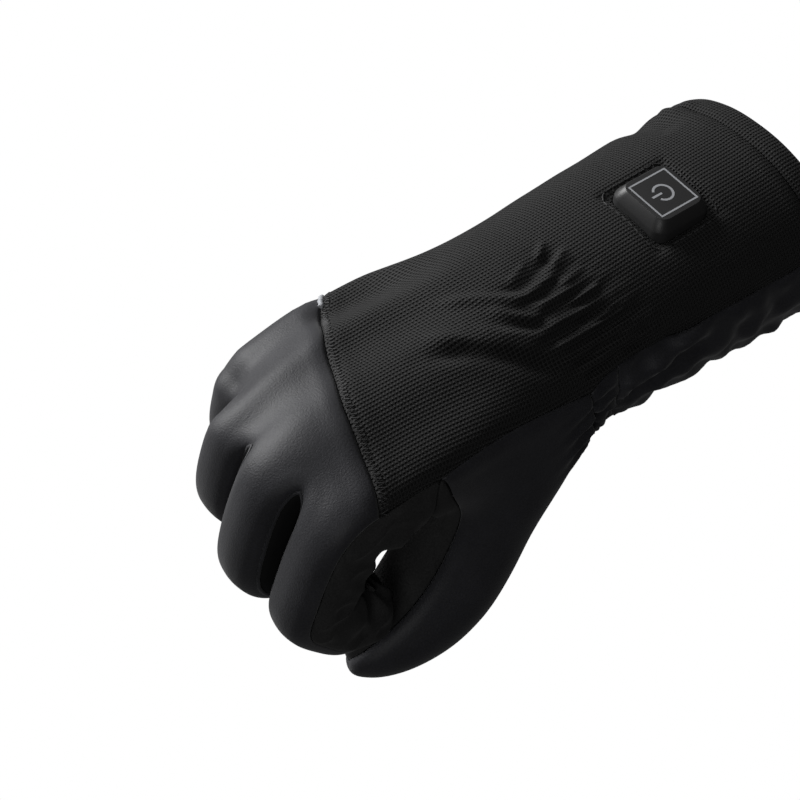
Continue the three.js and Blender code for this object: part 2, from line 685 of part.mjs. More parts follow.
const glove = new THREE.Group();
function addPiece(name, geometry, material) {
  const mesh = new THREE.Mesh(geometry, material);
  mesh.name = name;
  glove.add(mesh);
}

addPiece("back_knit", knitWithOpening(), cloth(KNIT_COLOR, 0.95));
addPiece("finger_shell", panelGeometry("finger_shell", SHELL_WALL), cloth(SHELL_COLOR, 0.75));
addPiece("palm_suede", panelGeometry("palm_suede", SUEDE_WALL), cloth(SUEDE_COLOR, 0.95));
BETWEEN_FINGERS.forEach((name) => {
  addPiece(name, panelGeometry(name, GUSSET_WALL), cloth(GUSSET_COLOR, 0.95));
});
addPiece("thumb_back", panelGeometry("thumb_back", SHELL_WALL), cloth(SHELL_COLOR, 0.75));
addPiece("thumb_front", panelGeometry("thumb_front", SUEDE_WALL), cloth(SUEDE_COLOR, 0.95));
addPiece("wrist_ruche", panelGeometry("wrist_ruche", SHELL_WALL), cloth(SHELL_COLOR, 0.8));
addPiece("cuff_under", panelGeometry("cuff_under", SHELL_WALL), cloth(SHELL_COLOR, 0.75));
addPiece("cuff_hem", panelGeometry("cuff_hem", HEM_WALL), cloth(KNIT_COLOR, 0.95));
addPiece("button_cap", buttonCap(), cloth(RUBBER_COLOR, 0.35));

export default glove;
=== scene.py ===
# %% [markdown]
# # A heated glove in a loose fist
# The real thing is a right-hand winter glove: black waffle knit over the back of the hand and the
# long cuff, smooth softshell over the knuckles and the thumb, brushed suede cloth on the gripping
# side, thin dark strips between the fingers, and a rubber power button on the back of the cuff.
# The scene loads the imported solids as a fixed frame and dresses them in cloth.

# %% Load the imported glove
import math

import bpy
import numpy as np
from mathutils import Matrix, Vector, noise
from mathutils.bvhtree import BVHTree
from mathutils.kdtree import KDTree


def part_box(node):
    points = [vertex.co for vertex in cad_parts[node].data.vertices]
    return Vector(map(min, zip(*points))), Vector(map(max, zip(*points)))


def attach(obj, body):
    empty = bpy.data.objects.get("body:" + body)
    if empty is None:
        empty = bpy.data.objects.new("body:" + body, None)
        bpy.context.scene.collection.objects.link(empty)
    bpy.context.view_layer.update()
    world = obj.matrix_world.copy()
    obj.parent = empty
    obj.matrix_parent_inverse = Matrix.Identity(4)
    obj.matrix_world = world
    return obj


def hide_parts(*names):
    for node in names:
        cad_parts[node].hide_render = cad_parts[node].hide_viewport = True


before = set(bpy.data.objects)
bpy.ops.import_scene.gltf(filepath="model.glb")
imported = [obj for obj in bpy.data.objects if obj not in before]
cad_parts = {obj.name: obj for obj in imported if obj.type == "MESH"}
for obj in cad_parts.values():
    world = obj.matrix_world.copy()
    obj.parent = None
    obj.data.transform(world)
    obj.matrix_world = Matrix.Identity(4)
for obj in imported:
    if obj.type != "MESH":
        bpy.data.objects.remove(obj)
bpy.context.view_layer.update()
bpy.ops.object.select_all(action="DESELECT")
MM = 0.001
print("solids loaded:", len(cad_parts))

# %% [markdown]
# ## Sizes
# The glove's sizes are those of its solids, in millimetres: +X runs to the knuckles, +Y to the
# thumb, +Z out of the back of the hand, and the origin is in the middle of the wrist.

# %% Named sizes
CUFF_LENGTH = 110
CUFF_WIDTH = 87
CUFF_DEPTH = 69
WRIST_WIDTH = 79
WRIST_DEPTH = 60
HAND_LENGTH = 100
HAND_DEPTH = 34
FIST_SIDE = -3.7
FINGER_WIDTH = 23.2
FINGER_DEPTH = 25
FINGER_GAP = 0.5
KNUCKLE_RADIUS = 15
MIDDLE_JOINT_RADIUS = 12.8
END_JOINT_RADIUS = 12.8
THUMB_REACH = 92
THUMB_WIDTH = 27
THUMB_DEPTH = 25
BUTTON_REACH = 57
BUTTON_SIDE = 2.2
BUTTON_SIZE = 24.4
BUTTON_CORNER = 4.5
BUTTON_HEIGHT = 5
SMOOTHING = 1.03
BACK = 16
RING = 36
ULNAR = 18
OVAL_SQUARENESS = 2.1
FINGER_SQUARENESS = 2.3
print("cuff", CUFF_LENGTH, "mm long, hand", HAND_LENGTH, "mm to the knuckles")

# %% [markdown]
# ## Tables of sections
# A pattern cutter describes a glove by its sections, and so do these tables. Lengths are shares of
# the named sizes, so that each row stays right when a size changes.

# %% Tables
CUFF_SECTIONS = [
    {"along": 1.0, "flare": 1.0, "edge": 25},
    {"along": 0.92, "flare": 1.0, "edge": 25},
    {"along": 0.82, "flare": 0.95, "edge": 25},
    {"along": 0.7, "flare": 0.86, "edge": 25},
    {"along": 0.56, "flare": 0.72, "edge": 26},
    {"along": 0.42, "flare": 0.56, "edge": 26},
    {"along": 0.29, "flare": 0.36, "edge": 27},
    {"along": 0.18, "flare": 0.16, "edge": 28},
    {"along": 0.1, "flare": 0.03, "edge": 27},
    {"along": 0.045, "flare": 0.0, "edge": 25},
]
HAND_SECTIONS = [
    {"radial": 0.0, "ulnar": 0.0, "knuckle": 0.0, "edge": 20},
    {"radial": 0.07, "ulnar": 0.05, "knuckle": 0.05, "edge": 22},
    {"radial": 0.2, "ulnar": 0.11, "knuckle": 0.18, "edge": 25},
    {"radial": 0.34, "ulnar": 0.17, "knuckle": 0.42, "edge": 30},
    {"radial": 0.48, "ulnar": 0.23, "knuckle": 0.7, "edge": 32},
    {"radial": 0.61, "ulnar": 0.29, "knuckle": 0.9, "edge": 34},
]
KNUCKLE_SECTIONS = [
    {"reaches": (0.74, 0.64, 0.51, 0.38), "slant": 1.0, "fill": 0.95},
    {"reaches": (0.85, 0.77, 0.63, 0.47), "slant": 1.0, "fill": 0.93},
    {"reaches": (0.91, 0.88, 0.79, 0.64), "slant": 0.6, "fill": 0.85},
    {"reaches": (0.945, 0.98, 0.94, 0.79), "slant": 0.0, "fill": 0.55},
]
FINGERS = [
    {"reach": 0.97, "rise": 0.22, "bones": (0.355, 0.22, 0.15), "bends": (78, 50, 38), "girth": 1.03},
    {"reach": 0.995, "rise": 0.3, "bones": (0.46, 0.25, 0.18), "bends": (80, 95, 50), "girth": 1.04},
    {"reach": 0.925, "rise": 0.2, "bones": (0.404, 0.25, 0.18), "bends": (80, 100, 50), "girth": 0.96},
    {"reach": 0.755, "rise": -0.09, "bones": (0.313, 0.23, 0.17), "bends": (80, 98, 50), "girth": 0.8},
]
WEB_STEPS = (0.15, 0.4, 0.7)
MIDDLE_JOINT_STEPS = (0, 0.25, 0.5, 0.75, 1)
END_JOINT_STEPS = (0, 0.5, 1)
TIP_STEPS = ((0.5, 0.97), (0.8, 0.84), (0.97, 0.5))
FINGER_ANGLES = (0, 36, 63, 90, 117, 144, 180, 216, 243, 270, 297, 324)
THUMB_SECTIONS = [
    {"place": (0.388, 0.336, -0.367), "wide": 1.13, "deep": 1.5},
    {"place": (0.455, 0.348, -0.521), "wide": 1.12, "deep": 1.55},
    {"place": (0.535, 0.345, -0.647), "wide": 1.14, "deep": 1.55},
    {"place": (0.637, 0.346, -0.734), "wide": 1.08, "deep": 1.35},
    {"place": (0.734, 0.346, -0.771), "wide": 0.9, "deep": 1.05},
    {"place": (0.81, 0.335, -0.808), "wide": 0.7, "deep": 0.7},
    {"place": (0.846, 0.32, -0.814), "wide": 0.36, "deep": 0.36},
]
THUMB_ROOT_STEPS = (0.25, 0.5, 0.75)
THUMB_SIDES = [
    {"corner": 165, "way": (0.1, 0.45, -1)},
    {"corner": 82, "way": (-0.1, 0.1, -1)},
    {"corner": -45, "way": (0.3, 0.3, -1)},
    {"corner": -125, "way": (0.6, 0.35, -0.75)},
]
THUMB_ACROSS = 6
PANELS = ["back_knit", "finger_shell", "palm_suede", "fourchette_index_middle",
          "fourchette_middle_ring", "fourchette_ring_little", "thumb_back", "thumb_front",
          "wrist_ruche", "cuff_under", "cuff_hem"]
BETWEEN_FINGERS = PANELS[3:6]
print("panels:", len(PANELS), "- sections of the thumb:", len(THUMB_SECTIONS))

# %% [markdown]
# ## The glove's net
# A glove is one closed surface before it is cut into panels, so its form is laid out once as a net
# of rings: ovals along the cuff and wrist, then rings that pass over four fingers side by side,
# then rings round each finger and the thumb. A primitive can't be bent into this fist by hand, so
# the net is lofted from the tables, and Subdivision Surface makes it as smooth as stretched cloth.

# %% Points on an oval


def lerp(a, b, share):
    return a + (b - a) * share


def unit(vector):
    vector = np.asarray(vector, float)
    return vector / np.linalg.norm(vector)


def oval_point(centre, first, second, half_first, half_second, degrees, squareness):
    c = math.cos(math.radians(degrees))
    s = math.sin(math.radians(degrees))
    across = half_first * math.copysign(abs(c) ** (2 / squareness), c)
    up = half_second * math.copysign(abs(s) ** (2 / squareness), s)
    return np.asarray(centre) + across * np.asarray(first) + up * np.asarray(second)


def ring_angle(index, edge):
    if index == 0:
        return 0
    if index == ULNAR:
        return 180
    if index < ULNAR:
        return lerp(edge, 180 - edge, (index - 1) / BACK)
    return lerp(180 + edge, 360 - edge, (index - ULNAR - 1) / BACK)


def oval_ring(radial, ulnar, width, depth, edge):
    ring = []
    for i in range(RING):
        point = oval_point((0, 0, 0), (0, 1, 0), (0, 0, 1), width / 2, depth / 2,
                           ring_angle(i, edge), OVAL_SQUARENESS)
        point[0] = lerp(ulnar, radial, 0.5 + point[1] / width)
        ring.append(point)
    return ring


print("points on a ring:", len(oval_ring(0, 0, WRIST_WIDTH, WRIST_DEPTH, 0)))

# %% Centre lines of the fingers
FIST_WIDTH = sum(finger["girth"] for finger in FINGERS) * FINGER_WIDTH + 3 * FINGER_GAP


def finger_side(f):
    before = sum(finger["girth"] * FINGER_WIDTH + FINGER_GAP for finger in FINGERS[:f])
    return FIST_SIDE + FIST_WIDTH / 2 - before - 0.5 * FINGERS[f]["girth"] * FINGER_WIDTH


def forward_at(degrees):
    return np.array([math.cos(math.radians(degrees)), 0, -math.sin(math.radians(degrees))])


def back_at(degrees):
    return np.array([math.sin(math.radians(degrees)), 0, math.cos(math.radians(degrees))])


def finger_path(f):
    finger = FINGERS[f]
    corner = np.array([finger["reach"] * HAND_LENGTH, finger_side(f), finger["rise"] * HAND_DEPTH])
    radii = [finger["girth"] * r for r in (KNUCKLE_RADIUS, MIDDLE_JOINT_RADIUS, END_JOINT_RADIUS)]
    tangents = [r * math.tan(math.radians(b / 2)) for r, b in zip(radii, finger["bends"])] + [0]
    spans = []
    turned = 0
    run = 0
    for k, (radius, bend, bone) in enumerate(zip(radii, finger["bends"], finger["bones"])):
        start = corner - tangents[k] * forward_at(turned)
        straight = bone * HAND_LENGTH - tangents[k] - tangents[k + 1]
        spans.append({"start": start, "turned": turned, "bend": bend, "radius": radius, "from": run,
                      "arc": math.radians(bend) * radius, "straight": straight})
        run += math.radians(bend) * radius + straight
        turned += bend
        corner = corner + bone * HAND_LENGTH * forward_at(turned)
    return spans


paths = [finger_path(f) for f in range(4)]
print("the fist is", round(FIST_WIDTH, 1), "mm wide")

# %% Rings round a finger
KNOB = 0.1


def finger_frame(path, length):
    span = [candidate for candidate in path if length >= candidate["from"] or candidate is path[0]][-1]
    along = length - span["from"]
    share = min(max(along / span["arc"], 0), 1)
    angle = span["turned"] + share * span["bend"]
    straight = along if along < 0 else max(along - span["arc"], 0)
    pivot = span["start"] - span["radius"] * back_at(span["turned"])
    centre = pivot + span["radius"] * back_at(angle) + straight * forward_at(angle)
    return centre, forward_at(angle), back_at(angle), math.sin(math.pi * share)


def finger_point(f, length, size, m):
    centre, _, back, knob = finger_frame(paths[f], length)
    half_width = 0.5 * FINGER_WIDTH * FINGERS[f]["girth"] * size
    half_depth = 0.5 * FINGER_DEPTH * FINGERS[f]["girth"] * size * SMOOTHING
    if 0 < m < 6:
        half_depth *= 1 + KNOB * knob
    return oval_point(centre, (0, 1, 0), back, half_width, half_depth,
                      FINGER_ANGLES[m], FINGER_SQUARENESS)


def finger_ring(f, length, size):
    return [finger_point(f, length, size, m) for m in range(12)]


print("a knuckle is", round(100 * KNOB), "% deeper than its finger")

# %% Rings over four fingers side by side
CROWN_FILL = 1.15


def reach_at(reaches, f, place, slant):
    start = min(max(math.floor(f + place), 0), 2)
    smooth = lerp(reaches[start], reaches[start + 1], f + place - start)
    return lerp(reaches[f], smooth, slant)


def side_place(m):
    if m in (0, 6):
        return -0.5 if m == 0 else 0.5
    return (m - 3 if m < 6 else 9 - m) / 4


def joined_ring(reaches, slant, fill):
    fingers = [[finger_point(f, reach_at(reaches, f, side_place(m), slant) - paths[f][0]["start"][0], 1, m)
                for m in range(12)] for f in range(4)]
    fill = min(fill * CROWN_FILL, 1)
    stretch = 2 * fill - 1
    for f, finger in enumerate(fingers):
        back = unit(finger[3] - finger[9])
        for m in ([4] if f == 0 else [2] if f == 3 else [2, 4]):
            finger[m] = finger[m] + stretch * (finger[3] - finger[m]).dot(back) * back
    ring = [None] * RING
    ring[0] = fingers[0][0]
    ring[ULNAR] = fingers[3][6]
    for f in range(4):
        for m in range(5):
            ring[1 + 4 * f + m] = fingers[f][1 + m]
            ring[RING - 1 - 4 * f - m] = fingers[f][11 - m]
    for f in range(1, 4):
        crest = (fingers[f - 1][3] + fingers[f][3]) / 2
        hollow = (fingers[f - 1][5] + fingers[f][1]) / 2
        ring[1 + 4 * f] = lerp(hollow, crest, fill)
        ring[RING - 1 - 4 * f] = (fingers[f - 1][9] + fingers[f][9]) / 2
    return ring


print("rings over the knuckles:", len(KNUCKLE_SECTIONS))

# %% Lay the rings of the cuff and hand
HAND_FILL = 0.8

net_points = []
net_faces = []
net_uvs = []
net_panels = []


def add_ring(ring):
    first = len(net_points)
    net_points.extend(np.asarray(point, float) for point in ring)
    return list(range(first, first + len(ring)))


def add_face(panel, corners, uvs):
    net_faces.append(tuple(corners))
    net_uvs.append(tuple(uvs))
    net_panels.append(PANELS.index(panel))


rings = [add_ring(oval_ring(-row["along"] * CUFF_LENGTH, -row["along"] * CUFF_LENGTH,
                            lerp(WRIST_WIDTH, CUFF_WIDTH, row["flare"]),
                            lerp(WRIST_DEPTH, CUFF_DEPTH, row["flare"]), row["edge"]))
         for row in CUFF_SECTIONS]
WRIST = len(rings)
for row in HAND_SECTIONS:
    radial = row["radial"] * HAND_LENGTH
    ulnar = row["ulnar"] * HAND_LENGTH
    oval = oval_ring(radial, ulnar, WRIST_WIDTH, WRIST_DEPTH, row["edge"])
    joined = joined_ring([lerp(radial, ulnar, k / 3) for k in range(4)], 1, HAND_FILL)
    rings.append(add_ring([lerp(a, b, row["knuckle"]) for a, b in zip(oval, joined)]))
THUMB_END = len(rings) - 1
KNIT_END = THUMB_END + 2
for row in KNUCKLE_SECTIONS:
    rings.append(add_ring(joined_ring([HAND_LENGTH * reach for reach in row["reaches"]],
                                      row["slant"], row["fill"])))
print("rings of the cuff and hand:", len(rings))


# %% Add the faces of the cuff and hand
def hand_panel(r, s):
    back = 1 <= s < ULNAR - 1
    in_thumb = WRIST <= r < THUMB_END and (s < 1 or s > RING - THUMB_ACROSS)
    if r == 0:
        return "cuff_hem"
    if in_thumb:
        return None
    if back:
        return "back_knit" if r < KNIT_END else "finger_shell"
    if r in (WRIST - 2, WRIST - 1):
        return "wrist_ruche"
    if r < WRIST:
        return "cuff_under"
    if s == ULNAR - 1:
        return "palm_suede" if r < KNIT_END else "finger_shell"
    return "palm_suede"


def around(ring):
    """Length of cloth from the middle of the back to each point of a ring."""
    steps = [0.0]
    for i in range(RING):
        a, b = net_points[ring[i]], net_points[ring[(i + 1) % RING]]
        steps.append(steps[-1] + math.hypot(b[1] - a[1], b[2] - a[2]))
    middle = steps[9]
    return [step - middle for step in steps]


ring_arounds = [around(ring) for ring in rings]
for r in range(len(rings) - 1):
    for s in range(RING):
        panel = hand_panel(r, s)
        if panel is None:
            continue
        t = (s + 1) % RING
        corners = (rings[r][s], rings[r][t], rings[r + 1][t], rings[r + 1][s])
        near, far = ring_arounds[r], ring_arounds[r + 1]
        arounds = (near[s], near[s + 1], far[s + 1], far[s])
        add_face(panel, corners, [(net_points[c][0], a) for c, a in zip(corners, arounds)])
print("faces of the cuff and hand:", len(net_faces))

# %% [markdown]
# ## Fingers and thumb
# Past the last shared ring each finger goes its own way, so a point at the bottom of each slot
# closes the surface between two fingers. The thumb grows out of a hole that the net leaves at the
# side of the hand: every strand leaves the hand's edge along a smooth curve and joins its oval.

# %% Panels and faces of a finger
FINGER_GIRTH = 75

last = rings[-1]
web_lengths = [HAND_LENGTH * reach - paths[f][0]["start"][0]
               for f, reach in enumerate(KNUCKLE_SECTIONS[-1]["reaches"])]
crotches = add_ring([(finger_frame(paths[f], web_lengths[f])[0]
                      + finger_frame(paths[f + 1], web_lengths[f + 1])[0]) / 2 for f in range(3)])


def finger_panel(f, m):
    if 1 <= m < 5:
        return "finger_shell"
    if m == 5 or (m == 6 and f < 3):
        return BETWEEN_FINGERS[f] if f < 3 else "finger_shell"
    if m in (0, 11) and f > 0:
        return BETWEEN_FINGERS[f - 1]
    return "palm_suede"


def chain_faces(chain, lengths, girth, panel_of):
    count = len(chain[0])
    for r in range(len(chain) - 1):
        for m in range(count):
            n = (m + 1) % count
            corners = (chain[r][m], chain[r][n], chain[r + 1][n], chain[r + 1][m])
            uvs = [(lengths[r], girth * m / count), (lengths[r], girth * (m + 1) / count),
                   (lengths[r + 1], girth * (m + 1) / count), (lengths[r + 1], girth * m / count)]
            add_face(panel_of(m), corners, uvs)


print("points between the fingers:", len(crotches))

# %% Add the fingers
for f in range(4):
    path = paths[f]
    start = [last[0] if f == 0 else crotches[f - 1]]
    start += [last[1 + 4 * f + m] for m in range(5)]
    start.append(last[ULNAR] if f == 3 else crotches[f])
    start += [last[RING - 1 - 4 * f - m] for m in (4, 3, 2, 1, 0)]
    gap = path[1]["from"] - web_lengths[f]
    stations = [(web_lengths[f] + share * gap, 1) for share in WEB_STEPS]
    stations += [(path[1]["from"] + share * path[1]["arc"], 1) for share in MIDDLE_JOINT_STEPS]
    stations += [(path[2]["from"] + share * path[2]["arc"], 1) for share in END_JOINT_STEPS]
    tip_from = path[2]["from"] + path[2]["arc"]
    stations += [(tip_from + along * path[2]["straight"], size) for along, size in TIP_STEPS]
    chain = [start] + [add_ring(finger_ring(f, length, size)) for length, size in stations]
    lengths = [web_lengths[f]] + [length for length, _ in stations]
    chain_faces(chain, lengths, FINGER_GIRTH, lambda m, f=f: finger_panel(f, m))
    end = chain[-1]
    flat = [(lengths[-1], 0)] * 4
    add_face("palm_suede", (end[0], end[1], end[11]), flat[:3])
    for m in range(1, 5):
        add_face("palm_suede", (end[m], end[m + 1], end[11 - m], end[12 - m]), flat)
    add_face("palm_suede", (end[5], end[6], end[7]), flat[:3])
print("faces with the fingers:", len(net_faces))

# %% Find the hole for the thumb
THUMB_SPAN = THUMB_END - WRIST
hole = [rings[WRIST + k][1] for k in range(THUMB_SPAN)]
hole += [rings[THUMB_END][(1 - k) % RING] for k in range(THUMB_ACROSS)]
hole += [rings[THUMB_END - k][(1 - THUMB_ACROSS) % RING] for k in range(THUMB_SPAN)]
hole += [rings[WRIST][(1 - THUMB_ACROSS + k) % RING] for k in range(THUMB_ACROSS)]
THUMB_RING = len(hole)


def thumb_side(k):
    side = 0
    counts = (THUMB_SPAN, THUMB_ACROSS, THUMB_SPAN, THUMB_ACROSS)
    while k >= counts[side]:
        k -= counts[side]
        side += 1
    return side, k / counts[side]


def thumb_angle(k):
    side, share = thumb_side(k)
    following = THUMB_SIDES[side + 1]["corner"] if side < 3 else THUMB_SIDES[0]["corner"] - 360
    return lerp(THUMB_SIDES[side]["corner"], following, share)


def leaving_way(k):
    side, share = thumb_side(k)
    own = unit(THUMB_SIDES[side]["way"])
    neighbour = unit(THUMB_SIDES[(side - 1 if share < 0.5 else side + 1) % 4]["way"])
    return unit(lerp(own, neighbour, abs(share - 0.5)))


print("points round the thumb's hole:", THUMB_RING)

# %% Rings of the thumb
THUMB_FACES = (0.35, -0.85, 0.4)
THUMB_STEP = 10.0
THUMB_GIRTH = 84
THUMB_LAST = len(THUMB_SECTIONS) - 1

thumb_centres = [np.array(row["place"]) * (HAND_LENGTH, THUMB_REACH, THUMB_REACH) for row in THUMB_SECTIONS]
thumb_axes = [unit(thumb_centres[min(i + 1, THUMB_LAST)] - thumb_centres[max(i - 1, 0)])
              for i in range(THUMB_LAST + 1)]


def thumb_ring(i):
    row = THUMB_SECTIONS[i]
    inner = np.array(THUMB_FACES)
    inner = unit(inner - inner.dot(thumb_axes[i]) * thumb_axes[i])
    back = np.cross(inner, thumb_axes[i])
    return [oval_point(thumb_centres[i], inner, back, 0.5 * THUMB_DEPTH * row["deep"],
                       0.5 * THUMB_WIDTH * row["wide"], thumb_angle(k), OVAL_SQUARENESS)
            for k in range(THUMB_RING)]


thumb_rings = [thumb_ring(i) for i in range(THUMB_LAST + 1)]
print("rings of the thumb:", len(thumb_rings))


# %% Add the thumb
def root_point(k, t):
    a = net_points[hole[k]]
    b = thumb_rings[0][k]
    span = np.linalg.norm(b - a)
    return ((2 * t ** 3 - 3 * t ** 2 + 1) * a + (t ** 3 - 2 * t ** 2 + t) * span * leaving_way(k)
            + (3 * t ** 2 - 2 * t ** 3) * b + (t ** 3 - t ** 2) * span * thumb_axes[0])


thumb_chain = [hole] + [add_ring([root_point(k, t) for k in range(THUMB_RING)]) for t in THUMB_ROOT_STEPS]
thumb_chain += [add_ring(ring) for ring in thumb_rings]
thumb_lengths = [THUMB_STEP * r for r in range(len(thumb_chain))]


def thumb_panel(k):
    return "thumb_front" if THUMB_SPAN <= k < THUMB_SPAN + THUMB_ACROSS + 1 else "thumb_back"


chain_faces(thumb_chain, thumb_lengths, THUMB_GIRTH, thumb_panel)
thumb_end = thumb_chain[-1]
tip = add_ring([np.mean([net_points[i] for i in thumb_end], axis=0)])[0]
for k in range(THUMB_RING):
    corners = (thumb_end[k], thumb_end[(k + 1) % THUMB_RING], tip)
    add_face(thumb_panel(k), corners, [(thumb_lengths[-1], 0)] * 3)
print("net:", len(net_points), "points,", len(net_faces), "faces")

# %% Make the net a mesh and smooth it
SMOOTH_LEVELS = 3


def activate(obj):
    bpy.ops.object.select_all(action="DESELECT")
    obj.select_set(True)
    bpy.context.view_layer.objects.active = obj


def apply_modifier(obj, kind, **settings):
    activate(obj)
    modifier = obj.modifiers.new(kind.lower(), kind)
    for key, value in settings.items():
        setattr(modifier, key, value)
    bpy.ops.object.modifier_apply(modifier=modifier.name)


net_mesh = bpy.data.meshes.new("glove_net")
net_mesh.from_pydata([tuple(point * MM) for point in net_points], [], net_faces)
uv_layer = net_mesh.uv_layers.new(name="cloth")
uv_layer.data.foreach_set("uv", [value for face in net_uvs for uv in face for value in uv])
glove = bpy.data.objects.new("glove_net", net_mesh)
bpy.context.collection.objects.link(glove)
for panel in PANELS:
    net_mesh.materials.append(bpy.data.materials.new("panel_" + panel))
net_mesh.polygons.foreach_set("material_index", net_panels)
apply_modifier(glove, "SUBSURF", levels=SMOOTH_LEVELS, render_levels=SMOOTH_LEVELS)
print("smoothed:", len(glove.data.vertices), "points")

# %% [markdown]
# ## Seams and the tight shell
# Where two panels are sewn together the cloth dips into a groove and swells beside it, and a closed
# fist draws the shell tight over the knuckles. A cloth simulation could find these forms, but it
# would not repeat those of the photo. So the shell is drawn tight by moving each point towards its
# neighbours, and the rest are moves of the smooth surface along its normals, by distance from a line.

# %% Read the smooth surface
def read(items, what, kind=float, width=1):
    values = np.empty(len(items) * width, kind)
    items.foreach_get(what, values)
    return values.reshape(-1, width) if width > 1 else values


mesh = glove.data
count = len(mesh.vertices)
place = read(mesh.vertices, "co", float, 3) / MM
normal = read(mesh.vertices, "normal", float, 3)
loop_edge = read(mesh.loops, "edge_index", int)
loop_point = read(mesh.loops, "vertex_index", int)
face_panel = read(mesh.polygons, "material_index", int)
loop_panel = np.repeat(face_panel, read(mesh.polygons, "loop_total", int))
edge_ends = read(mesh.edges, "vertices", int, 2)
edge_low = np.full(len(mesh.edges), len(PANELS))
edge_high = np.full(len(mesh.edges), -1)
np.minimum.at(edge_low, loop_edge, loop_panel)
np.maximum.at(edge_high, loop_edge, loop_panel)
on_panel = np.zeros((count, len(PANELS)), bool)
on_panel[loop_point, loop_panel] = True
print("seam edges:", int((edge_low != edge_high).sum()))


# %% Follow a seam as a line of points
def seam_lines(one, two):
    a, b = sorted((PANELS.index(one), PANELS.index(two)))
    ends = edge_ends[(edge_low == a) & (edge_high == b)]
    links = {}
    for p, q in ends:
        links.setdefault(int(p), []).append(int(q))
        links.setdefault(int(q), []).append(int(p))
    lines = []
    todo = set(links)
    starts = [p for p in sorted(links) if len(links[p]) != 2] + sorted(links)
    for begin in starts:
        if begin not in todo:
            continue
        line = [begin]
        todo.discard(begin)
        while True:
            onward = [q for q in links[line[-1]] if q in todo]
            if not onward:
                break
            line.append(onward[0])
            todo.discard(onward[0])
        if len(line) > 2:
            lines.append(line)
    return lines


print("lines of the knuckle seam:", len(seam_lines("back_knit", "finger_shell")))


# %% A tree for the distance to chosen points
def tree_of(rows):
    tree = KDTree(len(rows))
    for k, i in enumerate(rows):
        tree.insert(place[i], k)
    tree.balance()
    return tree


def panel_rows(*names):
    return on_panel[:, [PANELS.index(name) for name in names]].any(axis=1)


print("points of the shell:", int(panel_rows("finger_shell").sum()))

# %% Draw the shell tight over the knuckles
TIGHTENING_STEPS = 70
TIGHTENING_PULL = 0.5
TIGHTENING_START = 48
TIGHTENING_FADE = 15
SLOT_REACH = 5

slot_tree = tree_of(np.flatnonzero(panel_rows("palm_suede", *BETWEEN_FINGERS)))
tight = panel_rows("finger_shell") | (panel_rows("back_knit") & (place[:, 0] > TIGHTENING_START))
pull = np.zeros(count)
for i in np.flatnonzero(tight):
    pull[i] = min(slot_tree.find(place[i])[2] / SLOT_REACH, 1)
pull *= np.clip((place[:, 0] - TIGHTENING_START) / TIGHTENING_FADE, 0, 1) * TIGHTENING_PULL
from_ends, to_ends = np.concatenate([edge_ends, edge_ends[:, ::-1]]).T
neighbours = np.bincount(from_ends, minlength=count)
for _ in range(TIGHTENING_STEPS):
    sums = [np.bincount(from_ends, place[to_ends, axis], count) for axis in range(3)]
    place += (np.stack(sums, 1) / neighbours[:, None] - place) * pull[:, None]
print("points drawn tight:", int((pull > 0).sum()))

# %% Dip the seams and swell the cloth beside them
GROOVE_DEPTH = 0.75
GROOVE_WIDTH = 1.3
SWELL_HEIGHT = 0.35
SWELL_PLACE = 4.5
SWELL_WIDTH = 2.6

seam_tree = tree_of(np.unique(edge_ends[edge_low != edge_high]))
seam_distance = np.array([seam_tree.find(point)[2] for point in place])
shift = -GROOVE_DEPTH * np.exp(-(seam_distance / GROOVE_WIDTH) ** 2)
swell = SWELL_HEIGHT * np.exp(-((seam_distance - SWELL_PLACE) / SWELL_WIDTH) ** 2)
shift += np.where(panel_rows(*BETWEEN_FINGERS), 0, swell)
print("widest panel reaches", round(float(seam_distance.max()), 1), "mm from its seams")

# %% [markdown]
# ## Folds and creases
# At the wrist an elastic draws the knit into short ridges, from which long soft folds run towards
# the knuckles. The strip inside the wrist is gathered, and the suede crumples beside the forefinger.
# Folds that can be seen one by one follow drawn lines. Gathers are waves round the wrist, and finer
# creases and crumples come from noise, which is irregular as cloth is and costs no drawing.

